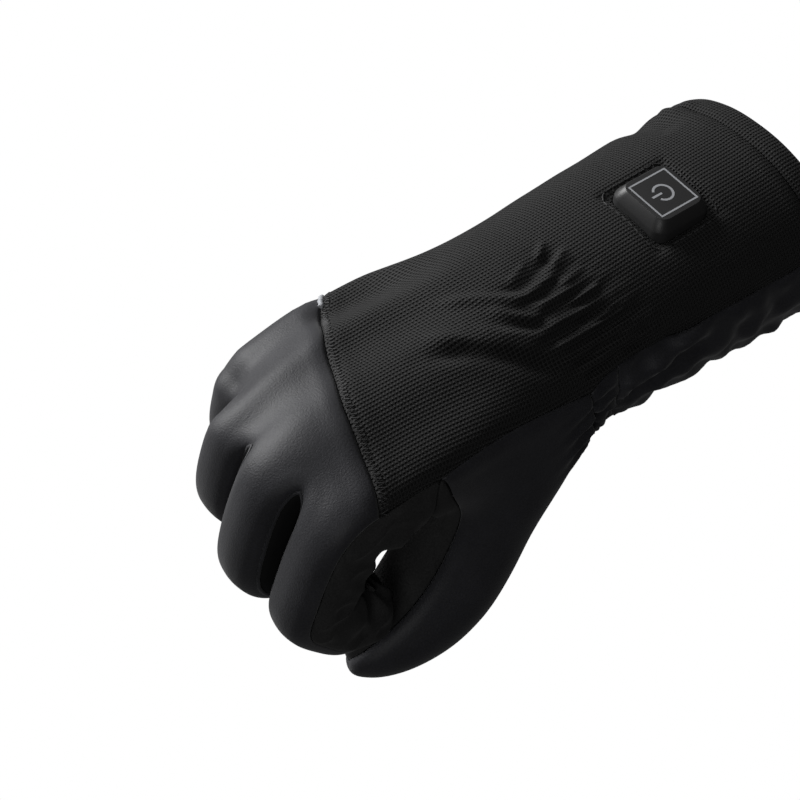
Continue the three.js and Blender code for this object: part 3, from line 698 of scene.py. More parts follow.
# %% Lines of the folds
# each row: height and width of a fold, then the points of its line
FOLDS = [
    (1.2, 1.2, (-14.4, -8.1, 30.1), (-7.6, -2.6, 29.7)),
    (1.2, 1.2, (-17.8, -0.9, 30.3), (-9, 2.1, 29.5)),
    (1.0, 1.1, (-3.5, -3.9, 29.7), (6.5, -0.7, 28.9)),
    (1.4, 1.2, (-9.2, 4.4, 30.1), (6.6, 6.5, 30.3)),
    (1.1, 1.1, (-18.8, 7.7, 30.4), (-6.3, 9.3, 29.6)),
    (1.3, 1.2, (-11.4, 11.8, 28.2), (6.6, 11.9, 27.6)),
    (1.0, 1.1, (-19, 15.6, 28.1), (-6.5, 15.9, 27.9)),
    (1.4, 1.3, (-11.5, 19.1, 27.7), (8.3, 18.9, 26.7)),
    (1.4, 1.7, (-12.7, 24.9, 23.6), (11, 24.6, 23.5)),
    (1.3, 1.4, (-6, 29.2, 21.5), (9.6, 29.2, 19.9)),
    (1.2, 1.3, (-9, 32.6, 18), (6, 32.4, 17)),
    (1.2, 1.3, (-12, 35.4, 13.5), (3, 35, 13)),
    (1.5, 2.2, (2.7, 10.7, 28.2), (11.6, 3.9, 29.1), (18.6, -2.4, 27.2), (28.2, -10.8, 24.1)),
    (1.2, 1.7, (3.1, 16.3, 27.9), (10.1, 12.9, 27.7), (15.2, 8.1, 28), (18.9, 1.9, 28.3)),
    (1.2, 2.0, (3.8, 20.7, 25.3), (12.2, 18.7, 25.7), (20.9, 12.8, 26.8), (27.7, 3.9, 26.6)),
    (1.7, 3.2, (8, 24.8, 23.5), (17.6, 19.7, 25), (25.2, 13.8, 26), (33.1, 6.4, 25.7), (41.4, -3.6, 23.3)),
    (-2.3, 3.2, (8.4, 30.7, 18.5), (15.9, 26.6, 22.2), (22.3, 20, 24.3), (32.5, 10.8, 25.4),
     (46.5, 4.3, 24)),
    (-1.5, 1.7, (-16, -3.4, 30), (-4, 0.6, 30), (5, 2.6, 30), (12, -1, 29)),
    (-1.5, 1.5, (-15, 5.3, 30), (0, 8.9, 29), (12, 7.9, 29)),
    (-1.4, 1.5, (-14, 13.8, 28), (2, 14.2, 27), (10, 16, 27), (19, 9, 27)),
    (-1.7, 1.7, (-12, 22, 26), (4, 21.9, 25), (14, 22.3, 24)),
    (-1.5, 1.4, (-12, 27.4, 22), (6, 27.2, 21.5)),
    (-1.5, 1.3, (-11, 31, 19.5), (6, 30.9, 18.4)),
    (-1.4, 1.3, (-14, 34, 16), (4, 33.8, 15)),
    (-2.0, 6.0, (-84, -41, 8), (-86, -37, 18), (-87, -31, 25), (-88, -20, 31)),
    (1.8, 5.0, (-96, -36.7, 19), (-99, -32.6, 25.1), (-106, -29, 28)),
    (2.4, 3.0, (-50, 39.6, 11), (-28, 38.8, 7), (-20.1, 39.2, 3.8), (-9.5, 39.3, 2.3)),
    (-2.8, 2.4, (-14, 36.9, 9), (-24.2, 38.5, 10.9), (-38, 38.7, 13.5)),
    (-2.0, 2.2, (-48, 39, 4), (-28, 38.8, 0.5), (-12.5, 39.3, -3)),
    (1.8, 2.6, (-56, 38.6, -1), (-30, 38.8, -5), (-12.5, 38.3, -8)),
    (4.2, 12.0, (50, -38, 16), (62, -40, 12), (72, -41, 8), (86, -42, 0)),
    (3.4, 5.5, (74, 38, 5), (80, 36.5, 0.5), (86, 36.5, -9), (88, 38, -20)),
    (1.6, 3.0, (96, 42, -14), (92, 42, -26), (95, 42, -38)),
    (-1.4, 1.6, (88, 42, -24), (91, 42, -33), (90, 42, -44), (95, 42, -52)),
    (-1.2, 1.3, (84, 42, -42), (82, 42, -50), (84, 42, -57)),
]
print("folds:", len(FOLDS))


# %% Raise the folds
def along_line(line, rest):
    """Distance of each point in rest from a line, and its share of the way along it."""
    line = np.array(line)
    lengths = np.linalg.norm(np.diff(line, axis=0), axis=1)
    best = np.full(len(rest), 1e9)
    share = np.zeros(len(rest))
    run = 0.0
    for a, b, length in zip(line[:-1], line[1:], lengths):
        t = np.clip((rest - a) @ (b - a) / length ** 2, 0, 1)
        distance = np.linalg.norm(rest - a - t[:, None] * (b - a), axis=1)
        near = distance < best
        best = np.where(near, distance, best)
        share = np.where(near, (run + t * length) / lengths.sum(), share)
        run += length
    return best, share


FOLD_SHARE = 0.85
FOLD_END = 0.04
FOLD_FULLNESS = 1.6

for height, width, *line in FOLDS:
    distance, share = along_line(line, place)
    taper = np.clip(np.sin(np.pi * np.clip(share, FOLD_END, 1 - FOLD_END)) * FOLD_FULLNESS, 0, 1)
    shift += FOLD_SHARE * height * taper * np.exp(-(distance / width) ** 2)
print("folds raise the cloth up to", round(float(shift.max()), 2), "mm")

# %% Gather the strip inside the wrist and the palm side
GATHER_HEIGHT = 2.2
GATHER_PITCH = 6.0
GATHER_PLACE = -2
GATHER_WIDTH = 11
GATHER_SLANT = 0.25
GATHER_FADE = 12
GATHER_AT_SIDES = 0.9
GATHER_EDGE = 1.5
GATHER_AT_SEAM = 0.4

turn = np.arctan2(place[:, 2] / (WRIST_DEPTH / 2), place[:, 1] / (WRIST_WIDTH / 2))
underside = np.clip(-place[:, 2] / GATHER_FADE + GATHER_AT_SIDES, 0, 1)
band = np.exp(-((place[:, 0] - GATHER_PLACE) / GATHER_WIDTH) ** 2) * underside
way_round = turn * 0.5 * (WRIST_WIDTH + WRIST_DEPTH) / 2
waves = np.sin(way_round * 2 * np.pi / GATHER_PITCH + GATHER_SLANT * place[:, 0])
shift += GATHER_HEIGHT * band * waves * np.where(seam_distance > GATHER_EDGE, 1, GATHER_AT_SEAM)
print("gathers on", int((band > 0.1).sum()), "points")

# %% Crease the knit finely along the wrist's elastic
CREASE_HEIGHT = 3.0
CREASE_GRAIN = (0.05, 0.28, 0.28)
CREASE_MIDDLE = -8
CREASE_REACH = 32
CREASE_EDGE = -14
CREASE_RISE = 30
CREASE_MOST = 1.3
CREASE_PLACE = -6
CREASE_SLANT = 0.3
CREASE_WIDTH = 10
CREASE_MEAN = 0.3

creased = panel_rows("back_knit") & (abs(place[:, 0] - CREASE_MIDDLE) < CREASE_REACH)
creased &= place[:, 1] > CREASE_EDGE
for i in np.flatnonzero(creased):
    x, y, _ = place[i]
    ridge = 0.5 - abs(noise.noise(Vector(place[i] * CREASE_GRAIN)))
    near = math.exp(-((x - CREASE_PLACE + CREASE_SLANT * y) / CREASE_WIDTH) ** 2)
    rise = min((y - CREASE_EDGE) / CREASE_RISE, CREASE_MOST)
    shift[i] += CREASE_HEIGHT * (ridge - CREASE_MEAN) * near * rise
print("points creased:", int(creased.sum()))

# %% Crumple the suede beside the forefinger
CRUMPLE_HEIGHT = 3.0
CRUMPLE_GRAIN = 0.11
CRUMPLE_FADE = 4
CRUMPLE_MEAN = 0.12
CRUMPLE_START = 66
CRUMPLE_SIDE = 26

crumpled = panel_rows("palm_suede") & (place[:, 0] > CRUMPLE_START) & (place[:, 1] > CRUMPLE_SIDE)
for i in np.flatnonzero(crumpled):
    ridge = 0.5 - abs(noise.noise(Vector(place[i] * CRUMPLE_GRAIN)))
    shift[i] += CRUMPLE_HEIGHT * (ridge - CRUMPLE_MEAN) * min(seam_distance[i] / CRUMPLE_FADE, 1)
print("points crumpled:", int(crumpled.sum()))

# %% Let the cloth lie a little unevenly
UNEVEN_FADE = 3
FINE_GRAIN = 0.13
BROAD_GRAIN = 0.06

# each panel: the height of its unevenness, and how fine it is
UNEVEN = {"back_knit": (0.25, BROAD_GRAIN), "finger_shell": (0.2, BROAD_GRAIN),
          "palm_suede": (0.8, FINE_GRAIN), "thumb_front": (0.6, FINE_GRAIN),
          "thumb_back": (0.25, BROAD_GRAIN), "cuff_under": (2.4, FINE_GRAIN),
          "cuff_hem": (0.4, BROAD_GRAIN)}
for panel, (height, grain) in UNEVEN.items():
    rows = np.flatnonzero(panel_rows(panel) & (seam_distance > 0.5))
    waves = np.array([noise.noise(Vector(place[i] * grain)) for i in rows])
    shift[rows] += height * waves * np.clip(seam_distance[rows] / UNEVEN_FADE, 0, 1)
print("uneven panels:", len(UNEVEN))

# %% Dip the knit where the button's opening is sewn
OPENING_DIP = 1.9
OPENING_WIDTH = 2.6

from_centre = np.maximum(abs(place[:, 0] + BUTTON_REACH), abs(place[:, 1] - BUTTON_SIDE))
dip = OPENING_DIP * np.exp(-((from_centre - BUTTON_SIZE / 2) / OPENING_WIDTH) ** 2)
shift -= np.where(panel_rows("back_knit") & (place[:, 2] > 0), dip, 0)
print("deepest dip", round(float(dip.max()), 2), "mm")

# %% Move the cloth
place += shift[:, None] * normal
mesh.vertices.foreach_set("co", (place * MM).ravel())
mesh.update()
surface_tree = BVHTree.FromPolygons([Vector(point) for point in place],
                                    [tuple(polygon.vertices) for polygon in mesh.polygons])
print("cloth moved by", round(float(shift.min()), 2), "to", round(float(shift.max()), 2), "mm")
seam_paths = {panel: [place[line] for line in seam_lines("finger_shell", panel)]
              for panel in ["back_knit"] + BETWEEN_FINGERS}

# %% [markdown]
# ## Panels
# The surface is now cut along its seams, as the pattern pieces of the real glove are. Each panel
# draws back a hair from its neighbours and gets the thickness of its cloth, padding and lining.

# %% Cut the surface into panels
activate(glove)
bpy.ops.object.mode_set(mode="EDIT")
bpy.ops.mesh.select_all(action="SELECT")
bpy.ops.mesh.separate(type="MATERIAL")
bpy.ops.object.mode_set(mode="OBJECT")
panels = {}
for obj in list(bpy.context.selected_objects):
    material = obj.data.materials[obj.data.polygons[0].material_index]
    panels[material.name.removeprefix("panel_")] = obj
for name, obj in panels.items():
    obj.name = name + "_cloth"
    obj.data.name = obj.name
print("panels:", ", ".join(sorted(panels)))


# %% Draw each panel back from its seams and thicken it
WALLS = {"back_knit": 2.2, "finger_shell": 2.0, "palm_suede": 1.6, "thumb_back": 2.0, "thumb_front": 1.6,
         "wrist_ruche": 1.8, "cuff_under": 2.0, "cuff_hem": 2.8}
STRIP_WALL = 1.3
SEAM_GAP = 0.24


def draw_back(obj, gap):
    data = obj.data
    points = read(data.vertices, "co", float, 3)
    ends = read(data.edges, "vertices", int, 2)
    uses = np.zeros(len(data.edges), int)
    np.add.at(uses, read(data.loops, "edge_index", int), 1)
    border = np.zeros(len(points), bool)
    border[ends[uses == 1].ravel()] = True
    pull = np.zeros_like(points)
    for a, b in ((0, 1), (1, 0)):
        inward = border[ends[:, a]] & ~border[ends[:, b]]
        np.add.at(pull, ends[inward, a], points[ends[inward, b]] - points[ends[inward, a]])
    size = np.linalg.norm(pull, axis=1)
    moved = size > 0
    points[moved] += pull[moved] / size[moved, None] * gap
    data.vertices.foreach_set("co", points.ravel())
    data.update()


for name, obj in panels.items():
    draw_back(obj, SEAM_GAP / 2 * MM)
    wall = WALLS.get(name, STRIP_WALL)
    apply_modifier(obj, "SOLIDIFY", thickness=wall * MM, offset=-1, use_rim=True)
    for polygon in obj.data.polygons:
        polygon.use_smooth = True
    print(obj.name, len(obj.data.polygons), "faces")

# %% [markdown]
# ## Button
# The power button is a moulded rubber block that stands out of an opening of the knit. It has sloped
# sides, round corners and a flat top, on which a thin square and a power sign are printed.

# %% Make a block with round upright edges
CORNER_SEGMENTS = 8


def rounded_block(name, side, corner, low, high):
    bpy.ops.object.select_all(action="DESELECT")
    bpy.ops.mesh.primitive_cube_add(size=1)
    block = bpy.context.object
    block.name = name
    block.scale = (side * MM, side * MM, (high - low) * MM)
    block.location = (-BUTTON_REACH * MM, BUTTON_SIDE * MM, (low + high) / 2 * MM)
    bpy.ops.object.transform_apply(location=True, rotation=False, scale=True)
    ends = [[block.data.vertices[i].co.z for i in edge.vertices] for edge in block.data.edges]
    upright = [edge for edge, (a, b) in zip(block.data.edges, ends) if abs(a - b) > MM]
    for element in list(block.data.vertices) + list(block.data.edges) + list(block.data.polygons):
        element.select = element in upright
    bpy.ops.object.mode_set(mode="EDIT")
    bpy.ops.mesh.select_mode(type="EDGE")
    bpy.ops.mesh.bevel(offset=corner * MM, segments=CORNER_SEGMENTS)
    bpy.ops.object.mode_set(mode="OBJECT")
    return block


BUTTON_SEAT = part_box("button_cap")[1][2] / MM - BUTTON_HEIGHT
print("the button is seated at", round(BUTTON_SEAT, 2), "mm")

# %% Cut the opening in the knit
OPENING_CLEARANCE = 0.5
CUTTER_REACH = 12

knit = panels["back_knit"]
cutter = rounded_block("opening_cutter", BUTTON_SIZE + OPENING_CLEARANCE, BUTTON_CORNER,
                       BUTTON_SEAT - CUTTER_REACH, BUTTON_SEAT + CUTTER_REACH)
activate(knit)
cut = knit.modifiers.new("opening", "BOOLEAN")
cut.operation = "DIFFERENCE"
cut.object = cutter
bpy.ops.object.modifier_apply(modifier="opening")
bpy.data.objects.remove(cutter)
print("knit after the cut:", len(knit.data.polygons), "faces")

# %% Model the button
BUTTON_DROP = 1.5
BUTTON_ROOT = 6
BUTTON_SHOULDER = 0.6
# share of the full size at each step of the sides, and the rise to it
BUTTON_STEPS = ((0.985, 0.8), (0.83, 3.2), (0.8, 0.35), (0.76, 0.05))

button = rounded_block("button", BUTTON_SIZE, BUTTON_CORNER,
                       BUTTON_SEAT - BUTTON_ROOT, BUTTON_SEAT + BUTTON_SHOULDER)
top_centre = (-BUTTON_REACH * MM, BUTTON_SIDE * MM, (BUTTON_SEAT + BUTTON_SHOULDER) * MM)
for element in list(button.data.vertices) + list(button.data.edges):
    element.select = False
for polygon in button.data.polygons:
    polygon.select = polygon.normal.z > 0.9
bpy.ops.object.mode_set(mode="EDIT")
bpy.ops.mesh.select_mode(type="FACE")
size = 1.0
for share, rise in BUTTON_STEPS:
    bpy.ops.mesh.extrude_region_move(TRANSFORM_OT_translate={"value": (0, 0, rise * MM)})
    bpy.ops.transform.resize(value=(share / size, share / size, 1), center_override=top_centre)
    size = share
bpy.ops.object.mode_set(mode="OBJECT")
button.data.transform(Matrix.Translation((0, 0, -BUTTON_DROP * MM)))
BUTTON_FACE = max(vertex.co.z for vertex in button.data.vertices) / MM
print("button:", len(button.data.polygons), "faces, top at", round(BUTTON_FACE, 2), "mm")

# %% Give the button its flange under the knit
FLANGE_SIZE = BUTTON_SIZE + 5
FLANGE_TOP = 4.8
ROUNDED_UP_TO = 32

flange = rounded_block("button_flange", FLANGE_SIZE, BUTTON_CORNER,
                       BUTTON_SEAT - BUTTON_ROOT, BUTTON_SEAT - FLANGE_TOP)
activate(button)
flange.select_set(True)
bpy.ops.object.join()
button.data.shade_smooth()
bpy.ops.object.shade_smooth_by_angle(angle=math.radians(ROUNDED_UP_TO))
print("button with its flange:", len(button.data.polygons), "faces")

# %% [markdown]
# ## Print on the button
# The square outline and the power sign are screen printed, so they are flat ribbons a few hundredths
# of a millimetre thick that lie on the button's top. Each one is a flat band between two outlines.

# %% Lay flat bands on the button's top
PRINT_WIDTH = 0.62
PRINT_LONG = 16.6
PRINT_SHORT = 16.2
SIGN_RADIUS = 3.75
SIGN_WIDTH = 0.82
SIGN_GAP = 33
SIGN_STEPS = 48
BAR_ENDS = (0.6, 4.8)
PRINT_LIFT = 0.005
PRINT_THICKNESS = 0.05


def flat_band(name, outer, inner, closed):
    data = bpy.data.meshes.new(name)
    low = BUTTON_FACE + PRINT_LIFT
    points = [(x - BUTTON_REACH, y + BUTTON_SIDE, low) for x, y in outer + inner]
    count = len(outer)
    faces = [(k, (k + 1) % count, count + (k + 1) % count, count + k)
             for k in range(count if closed else count - 1)]
    data.from_pydata([Vector(point) * MM for point in points], [], faces)
    band = bpy.data.objects.new(name, data)
    bpy.context.scene.collection.objects.link(band)
    activate(band)
    bpy.ops.object.mode_set(mode="EDIT")
    bpy.ops.mesh.select_all(action="SELECT")
    bpy.ops.mesh.normals_make_consistent(inside=False)
    bpy.ops.object.mode_set(mode="OBJECT")
    if data.polygons[0].normal.z < 0:
        data.flip_normals()
    apply_modifier(band, "SOLIDIFY", thickness=PRINT_THICKNESS * MM, offset=1)
    return band


def square(long, short):
    return [(x * long / 2, y * short / 2) for x, y in ((-1, -1), (1, -1), (1, 1), (-1, 1))]


def arc(radius):
    angles = [math.radians(lerp(SIGN_GAP, 360 - SIGN_GAP, k / SIGN_STEPS)) for k in range(SIGN_STEPS + 1)]
    return [(radius * math.cos(a), radius * math.sin(a)) for a in angles]


frame_line = flat_band("printed_square", square(PRINT_LONG, PRINT_SHORT),
                       square(PRINT_LONG - 2 * PRINT_WIDTH, PRINT_SHORT - 2 * PRINT_WIDTH), True)
sign_ring = flat_band("printed_ring", arc(SIGN_RADIUS), arc(SIGN_RADIUS - SIGN_WIDTH), False)
sign_bar = flat_band("printed_bar", [(x, SIGN_WIDTH / 2) for x in BAR_ENDS],
                     [(x, -SIGN_WIDTH / 2) for x in BAR_ENDS], False)
print("print:", [len(band.data.polygons) for band in (frame_line, sign_ring, sign_bar)])

# %% [markdown]
# ## Stitches and bound edges
# An overlock stitch runs on the knit side of the knuckle seam, the slots between the fingers have
# rolled edges, a short reflective piping ends the knuckle seam, and a row of stitches holds the
# knit round the button. Each is a thread or a roll that follows the cloth: a curve with a round
# section, made into a mesh.

# %% Lay a round thread along a line
def lay_tube(name, lines, radius, sides=2):
    curve = bpy.data.curves.new(name, "CURVE")
    curve.dimensions = "3D"
    curve.bevel_depth = radius * MM
    curve.bevel_resolution = sides
    curve.use_fill_caps = True
    for line in lines:
        spline = curve.splines.new("POLY")
        spline.points.add(len(line) - 1)
        for point, (x, y, z) in zip(spline.points, line):
            point.co = (x * MM, y * MM, z * MM, 1)
    tube = bpy.data.objects.new(name, curve)
    bpy.context.scene.collection.objects.link(tube)
    activate(tube)
    bpy.ops.object.convert(target="MESH")
    tube = bpy.context.object
    tube.data.shade_smooth()
    return tube


def resample(points, step):
    lengths = np.concatenate([[0], np.cumsum(np.linalg.norm(np.diff(points, axis=0), axis=1))])
    marks = np.linspace(0, lengths[-1], max(int(lengths[-1] / step), 2) + 1)
    return np.stack([np.interp(marks, lengths, points[:, axis]) for axis in range(3)], 1)


def on_cloth(point, lift):
    found, way, _, _ = surface_tree.find_nearest(Vector(point))
    return np.array(found + lift * way)


print("threads lie on", len(mesh.polygons), "faces of cloth")

# %% Overlock the knuckle seam
ZIGZAG_PITCH = 1.5
ZIGZAG_WIDTH = 2.3
ZIGZAG_EDGE = 0.9
THREAD_RADIUS = 0.2
THREAD_LIFT = 0.12

zigzags = []
for points in seam_paths["back_knit"]:
    line = resample(points, ZIGZAG_PITCH / 2)
    zigzag = []
    for k in range(1, len(line) - 1):
        along = unit(line[k + 1] - line[k - 1])
        _, way, _, _ = surface_tree.find_nearest(Vector(line[k]))
        side = np.cross(along, way)
        side *= -1 if side[0] > 0 else 1
        zigzag.append(on_cloth(line[k] + side * (ZIGZAG_EDGE + ZIGZAG_WIDTH * (k % 2)), THREAD_LIFT))
    zigzags.append(zigzag)
overlock = lay_tube("overlock_stitches", zigzags, THREAD_RADIUS, 1)
print("overlock:", sum(len(zigzag) for zigzag in zigzags), "points")

# %% Roll the edges of the slots
ROLL_RADIUS = 0.6
ROLL_LIFT = 0.15
ROLL_STEP = 1.2

roll_lines = [[on_cloth(point, ROLL_LIFT) for point in resample(points, ROLL_STEP)]
              for slot in BETWEEN_FINGERS for points in seam_paths[slot]]
slot_rolls = lay_tube("slot_edges", roll_lines, ROLL_RADIUS)
print("rolled edges:", len(roll_lines))

# %% Pipe the far end of the knuckle seam
PIPING_LENGTH = 9
PIPING_RADIUS = 0.9
PIPING_LIFT = 0.5

knuckle_seam = max(seam_paths["back_knit"], key=len)
if knuckle_seam[0][1] > knuckle_seam[-1][1]:
    knuckle_seam = knuckle_seam[::-1]
piped = [on_cloth(point, PIPING_LIFT) for point in resample(knuckle_seam, 1)[1:1 + PIPING_LENGTH]]
piping = lay_tube("reflective_piping", [piped], PIPING_RADIUS)
print("piping from", [round(float(v), 1) for v in piped[0]])

# %% Stitch the knit round the button
STITCH_LENGTH = 2.2
STITCH_GAP = 0.9
STITCH_OFFSET = 2.0
STITCH_STEP = 0.5
STITCH_LIFT = 0.05
CORNER_STEP = 15

half = BUTTON_SIZE / 2 + STITCH_OFFSET
outline = [(half - BUTTON_CORNER + BUTTON_CORNER * math.cos(math.radians(a)),
            half - BUTTON_CORNER + BUTTON_CORNER * math.sin(math.radians(a)))
           for a in range(0, 91, CORNER_STEP)]
outline = [turned for x, y in [(1, 1), (-1, 1), (-1, -1), (1, -1)]
           for turned in ([(x * a, y * b) for a, b in (outline if x * y > 0 else outline[::-1])])]
outline.append(outline[0])
ring_points = np.array([(x - BUTTON_REACH, y + BUTTON_SIDE, BUTTON_SEAT) for x, y in outline])
ring_line = resample(ring_points, STITCH_STEP)
stitch_steps = int((STITCH_LENGTH + STITCH_GAP) / STITCH_STEP)
dashes = [[on_cloth(point, STITCH_LIFT) for point in ring_line[k:k + int(STITCH_LENGTH / STITCH_STEP) + 1]]
          for k in range(0, len(ring_line) - stitch_steps, stitch_steps)]
button_stitches = lay_tube("button_stitches", dashes, THREAD_RADIUS, 1)
print("stitches round the button:", len(dashes))

# %% [markdown]
# ## Materials
# Each finish is a shader with its own weave, grain and nap. What more than one cloth needs is built
# once as a group: a waffle knit that follows the cloth's own coordinates, and a soft mottling.


# %% Helpers for node groups
def new_group(name, inputs, outputs):
    group = bpy.data.node_groups.new(name, "ShaderNodeTree")
    for label, kind, value in inputs:
        socket = group.interface.new_socket(name=label, in_out="INPUT", socket_type=kind)
        if value is not None:
            socket.default_value = value
    for label, kind in outputs:
        group.interface.new_socket(name=label, in_out="OUTPUT", socket_type=kind)
    return group, group.nodes.new("NodeGroupInput"), group.nodes.new("NodeGroupOutput")


def add_math(tree, operation, a, b=None):
    node = tree.nodes.new("ShaderNodeMath")
    node.operation = operation
    for socket, value in zip(node.inputs, (a, b)):
        if isinstance(value, (int, float)):
            socket.default_value = value
        elif value is not None:
            tree.links.new(value, socket)
    return node.outputs[0]


print("node groups so far:", len(bpy.data.node_groups))


# %% Group: waffle knit
KNIT_PITCH = 1.3
THREAD_SHARPNESS = 2.6


def build_waffle():
    group, inlet, outlet = new_group("waffle_knit", [("Vector", "NodeSocketVector", None),
                                                     ("Pitch", "NodeSocketFloat", KNIT_PITCH)],
                                     [("Thread", "NodeSocketFloat"), ("Height", "NodeSocketFloat")])
    split = group.nodes.new("ShaderNodeSeparateXYZ")
    group.links.new(inlet.outputs["Vector"], split.inputs[0])
    waves = []
    for axis in ("X", "Y"):
        turns = add_math(group, "DIVIDE", split.outputs[axis], inlet.outputs["Pitch"])
        wave = add_math(group, "SINE", add_math(group, "MULTIPLY", turns, math.pi))
        waves.append(add_math(group, "SUBTRACT", 1.0, add_math(group, "MULTIPLY", wave, wave)))
    both = add_math(group, "MULTIPLY", add_math(group, "SUBTRACT", 1.0, waves[0]),
                    add_math(group, "SUBTRACT", 1.0, waves[1]))
    height = add_math(group, "SUBTRACT", 1.0, both)
    thread = add_math(group, "POWER", height, THREAD_SHARPNESS)
    group.links.new(thread, outlet.inputs["Thread"])
    group.links.new(height, outlet.inputs["Height"])
    return group


waffle = build_waffle()
print("waffle knit:", len(waffle.nodes), "nodes")


# %% Group: mottled cloth
GRAIN_SHARE = 0.6
PATCH_SHARE = 0.4


def build_mottle():
    group, inlet, outlet = new_group("mottled_cloth", [("Vector", "NodeSocketVector", None),
                                                       ("Grain", "NodeSocketFloat", 2600.0),
                                                       ("Patch", "NodeSocketFloat", 60.0)],
                                     [("Tone", "NodeSocketFloat"), ("Height", "NodeSocketFloat")])
    grain = group.nodes.new("ShaderNodeTexNoise")
    patch = group.nodes.new("ShaderNodeTexNoise")
    for node, label, detail in ((grain, "Grain", 2.0), (patch, "Patch", 3.0)):
        node.inputs["Detail"].default_value = detail
        group.links.new(inlet.outputs["Vector"], node.inputs["Vector"])
        group.links.new(inlet.outputs[label], node.inputs["Scale"])
    tone = add_math(group, "ADD", add_math(group, "MULTIPLY", grain.outputs["Fac"], GRAIN_SHARE),
                    add_math(group, "MULTIPLY", patch.outputs["Fac"], PATCH_SHARE))
    group.links.new(tone, outlet.inputs["Tone"])
    group.links.new(grain.outputs["Fac"], outlet.inputs["Height"])
    return group


mottle = build_mottle()
print("mottled cloth:", len(mottle.nodes), "nodes")


# %% Start a material
def start_material(name, roughness, specular, sheen=0.0):
    material = bpy.data.materials.new(name)
    material.use_nodes = True
    tree = material.node_tree
    tree.nodes.clear()
    surface = tree.nodes.new("ShaderNodeBsdfPrincipled")
    output = tree.nodes.new("ShaderNodeOutputMaterial")
    tree.links.new(surface.outputs[0], output.inputs["Surface"])
    for label, value in (("Roughness", roughness), ("Specular IOR Level", specular),
                         ("Sheen Weight", sheen), ("Sheen Roughness", 0.5)):
        surface.inputs[label].default_value = value
    coordinates = tree.nodes.new("ShaderNodeTexCoord")
    return material, tree, surface, coordinates.outputs["Object"]


def add_group(tree, group, vector, **values):
    node = tree.nodes.new("ShaderNodeGroup")
    node.node_tree = group
    tree.links.new(vector, node.inputs["Vector"])
    for label, value in values.items():
        node.inputs[label].default_value = value
    return node


def mix_colours(tree, factor, dark, light, low=0.3, high=0.7):
    ramp = tree.nodes.new("ShaderNodeValToRGB")
    ramp.color_ramp.elements[0].position = low
    ramp.color_ramp.elements[0].color = (*dark, 1)
    ramp.color_ramp.elements[1].position = high
    ramp.color_ramp.elements[1].color = (*light, 1)
    tree.links.new(factor, ramp.inputs["Fac"])
    return ramp.outputs["Color"]


def add_bump(tree, surface, height, distance):
    bump = tree.nodes.new("ShaderNodeBump")
    bump.inputs["Strength"].default_value = 1.0
    bump.inputs["Distance"].default_value = distance * MM
    tree.links.new(height, bump.inputs["Height"])
    tree.links.new(bump.outputs["Normal"], surface.inputs["Normal"])


print("materials so far:", len(bpy.data.materials))

# %% [markdown]
# ## The knit
# The knit of the real glove is a waffle of small square hollows between raised black threads. An
# image of a knit would need its own file, and a modelled thread would need millions of faces. So two
# crossed waves along the cloth's own coordinates give the relief and the colour, whose near-black hollows
# are painted shade.

# %% Material: waffle knit
# the hollows' near-black colour is painted shade; the knit is the same black thread throughout
HOLLOW_PAINTED_SHADE = (0.0004, 0.0004, 0.0004)
THREAD_COLOUR = (0.0175, 0.0175, 0.0176)
KNIT_RELIEF = 0.6


def knit_material():
    material, tree, surface, place_at = start_material("ribbed_knit_black", 0.7, 0.25, 0.05)
    cloth = tree.nodes.new("ShaderNodeUVMap")
    cloth.uv_map = "cloth"
    grid = add_group(tree, waffle, cloth.outputs["UV"], Pitch=KNIT_PITCH)
    soft = add_group(tree, mottle, place_at, Grain=3200.0, Patch=45.0)
    # painted shade: the hollows between the threads are coloured near-black
    colour = mix_colours(tree, grid.outputs["Thread"], HOLLOW_PAINTED_SHADE, THREAD_COLOUR, 0.25, 1.0)
    tone = mix_colours(tree, soft.outputs["Tone"], (0.75, 0.75, 0.75), (1, 1, 1))
    blend = tree.nodes.new("ShaderNodeMix")
    blend.data_type = "RGBA"
    blend.blend_type = "MULTIPLY"
    blend.inputs["Factor"].default_value = 1.0
    tree.links.new(colour, blend.inputs[6])
    tree.links.new(tone, blend.inputs[7])
    tree.links.new(blend.outputs[2], surface.inputs["Base Color"])
    add_bump(tree, surface, grid.outputs["Height"], KNIT_RELIEF)
    return material


finishes = {"ribbed_knit": knit_material()}
print("knit with a pitch of", KNIT_PITCH, "mm")


# %% [markdown]
# ## Softshell, suede, rubber and print
# Softshell is a smooth cloth with a faint blue cast and suede is brushed and mottled. The button's
# rubber is glossier, and the print is a flat grey film. The black thread is coloured grey, a painted
# sheen. They differ only in colour, gloss, grain and relief, so one function makes them all from a
# table with a row for each.

# %% Materials: smooth cloth, suede, rubber, print
def cloth_material(name, dark, light, roughness, specular, sheen, grain, patch, relief):
    material, tree, surface, place_at = start_material(name, roughness, specular, sheen)
    soft = add_group(tree, mottle, place_at, Grain=grain, Patch=patch)
    tree.links.new(mix_colours(tree, soft.outputs["Tone"], dark, light), surface.inputs["Base Color"])
    add_bump(tree, surface, soft.outputs["Height"], relief)
    return material


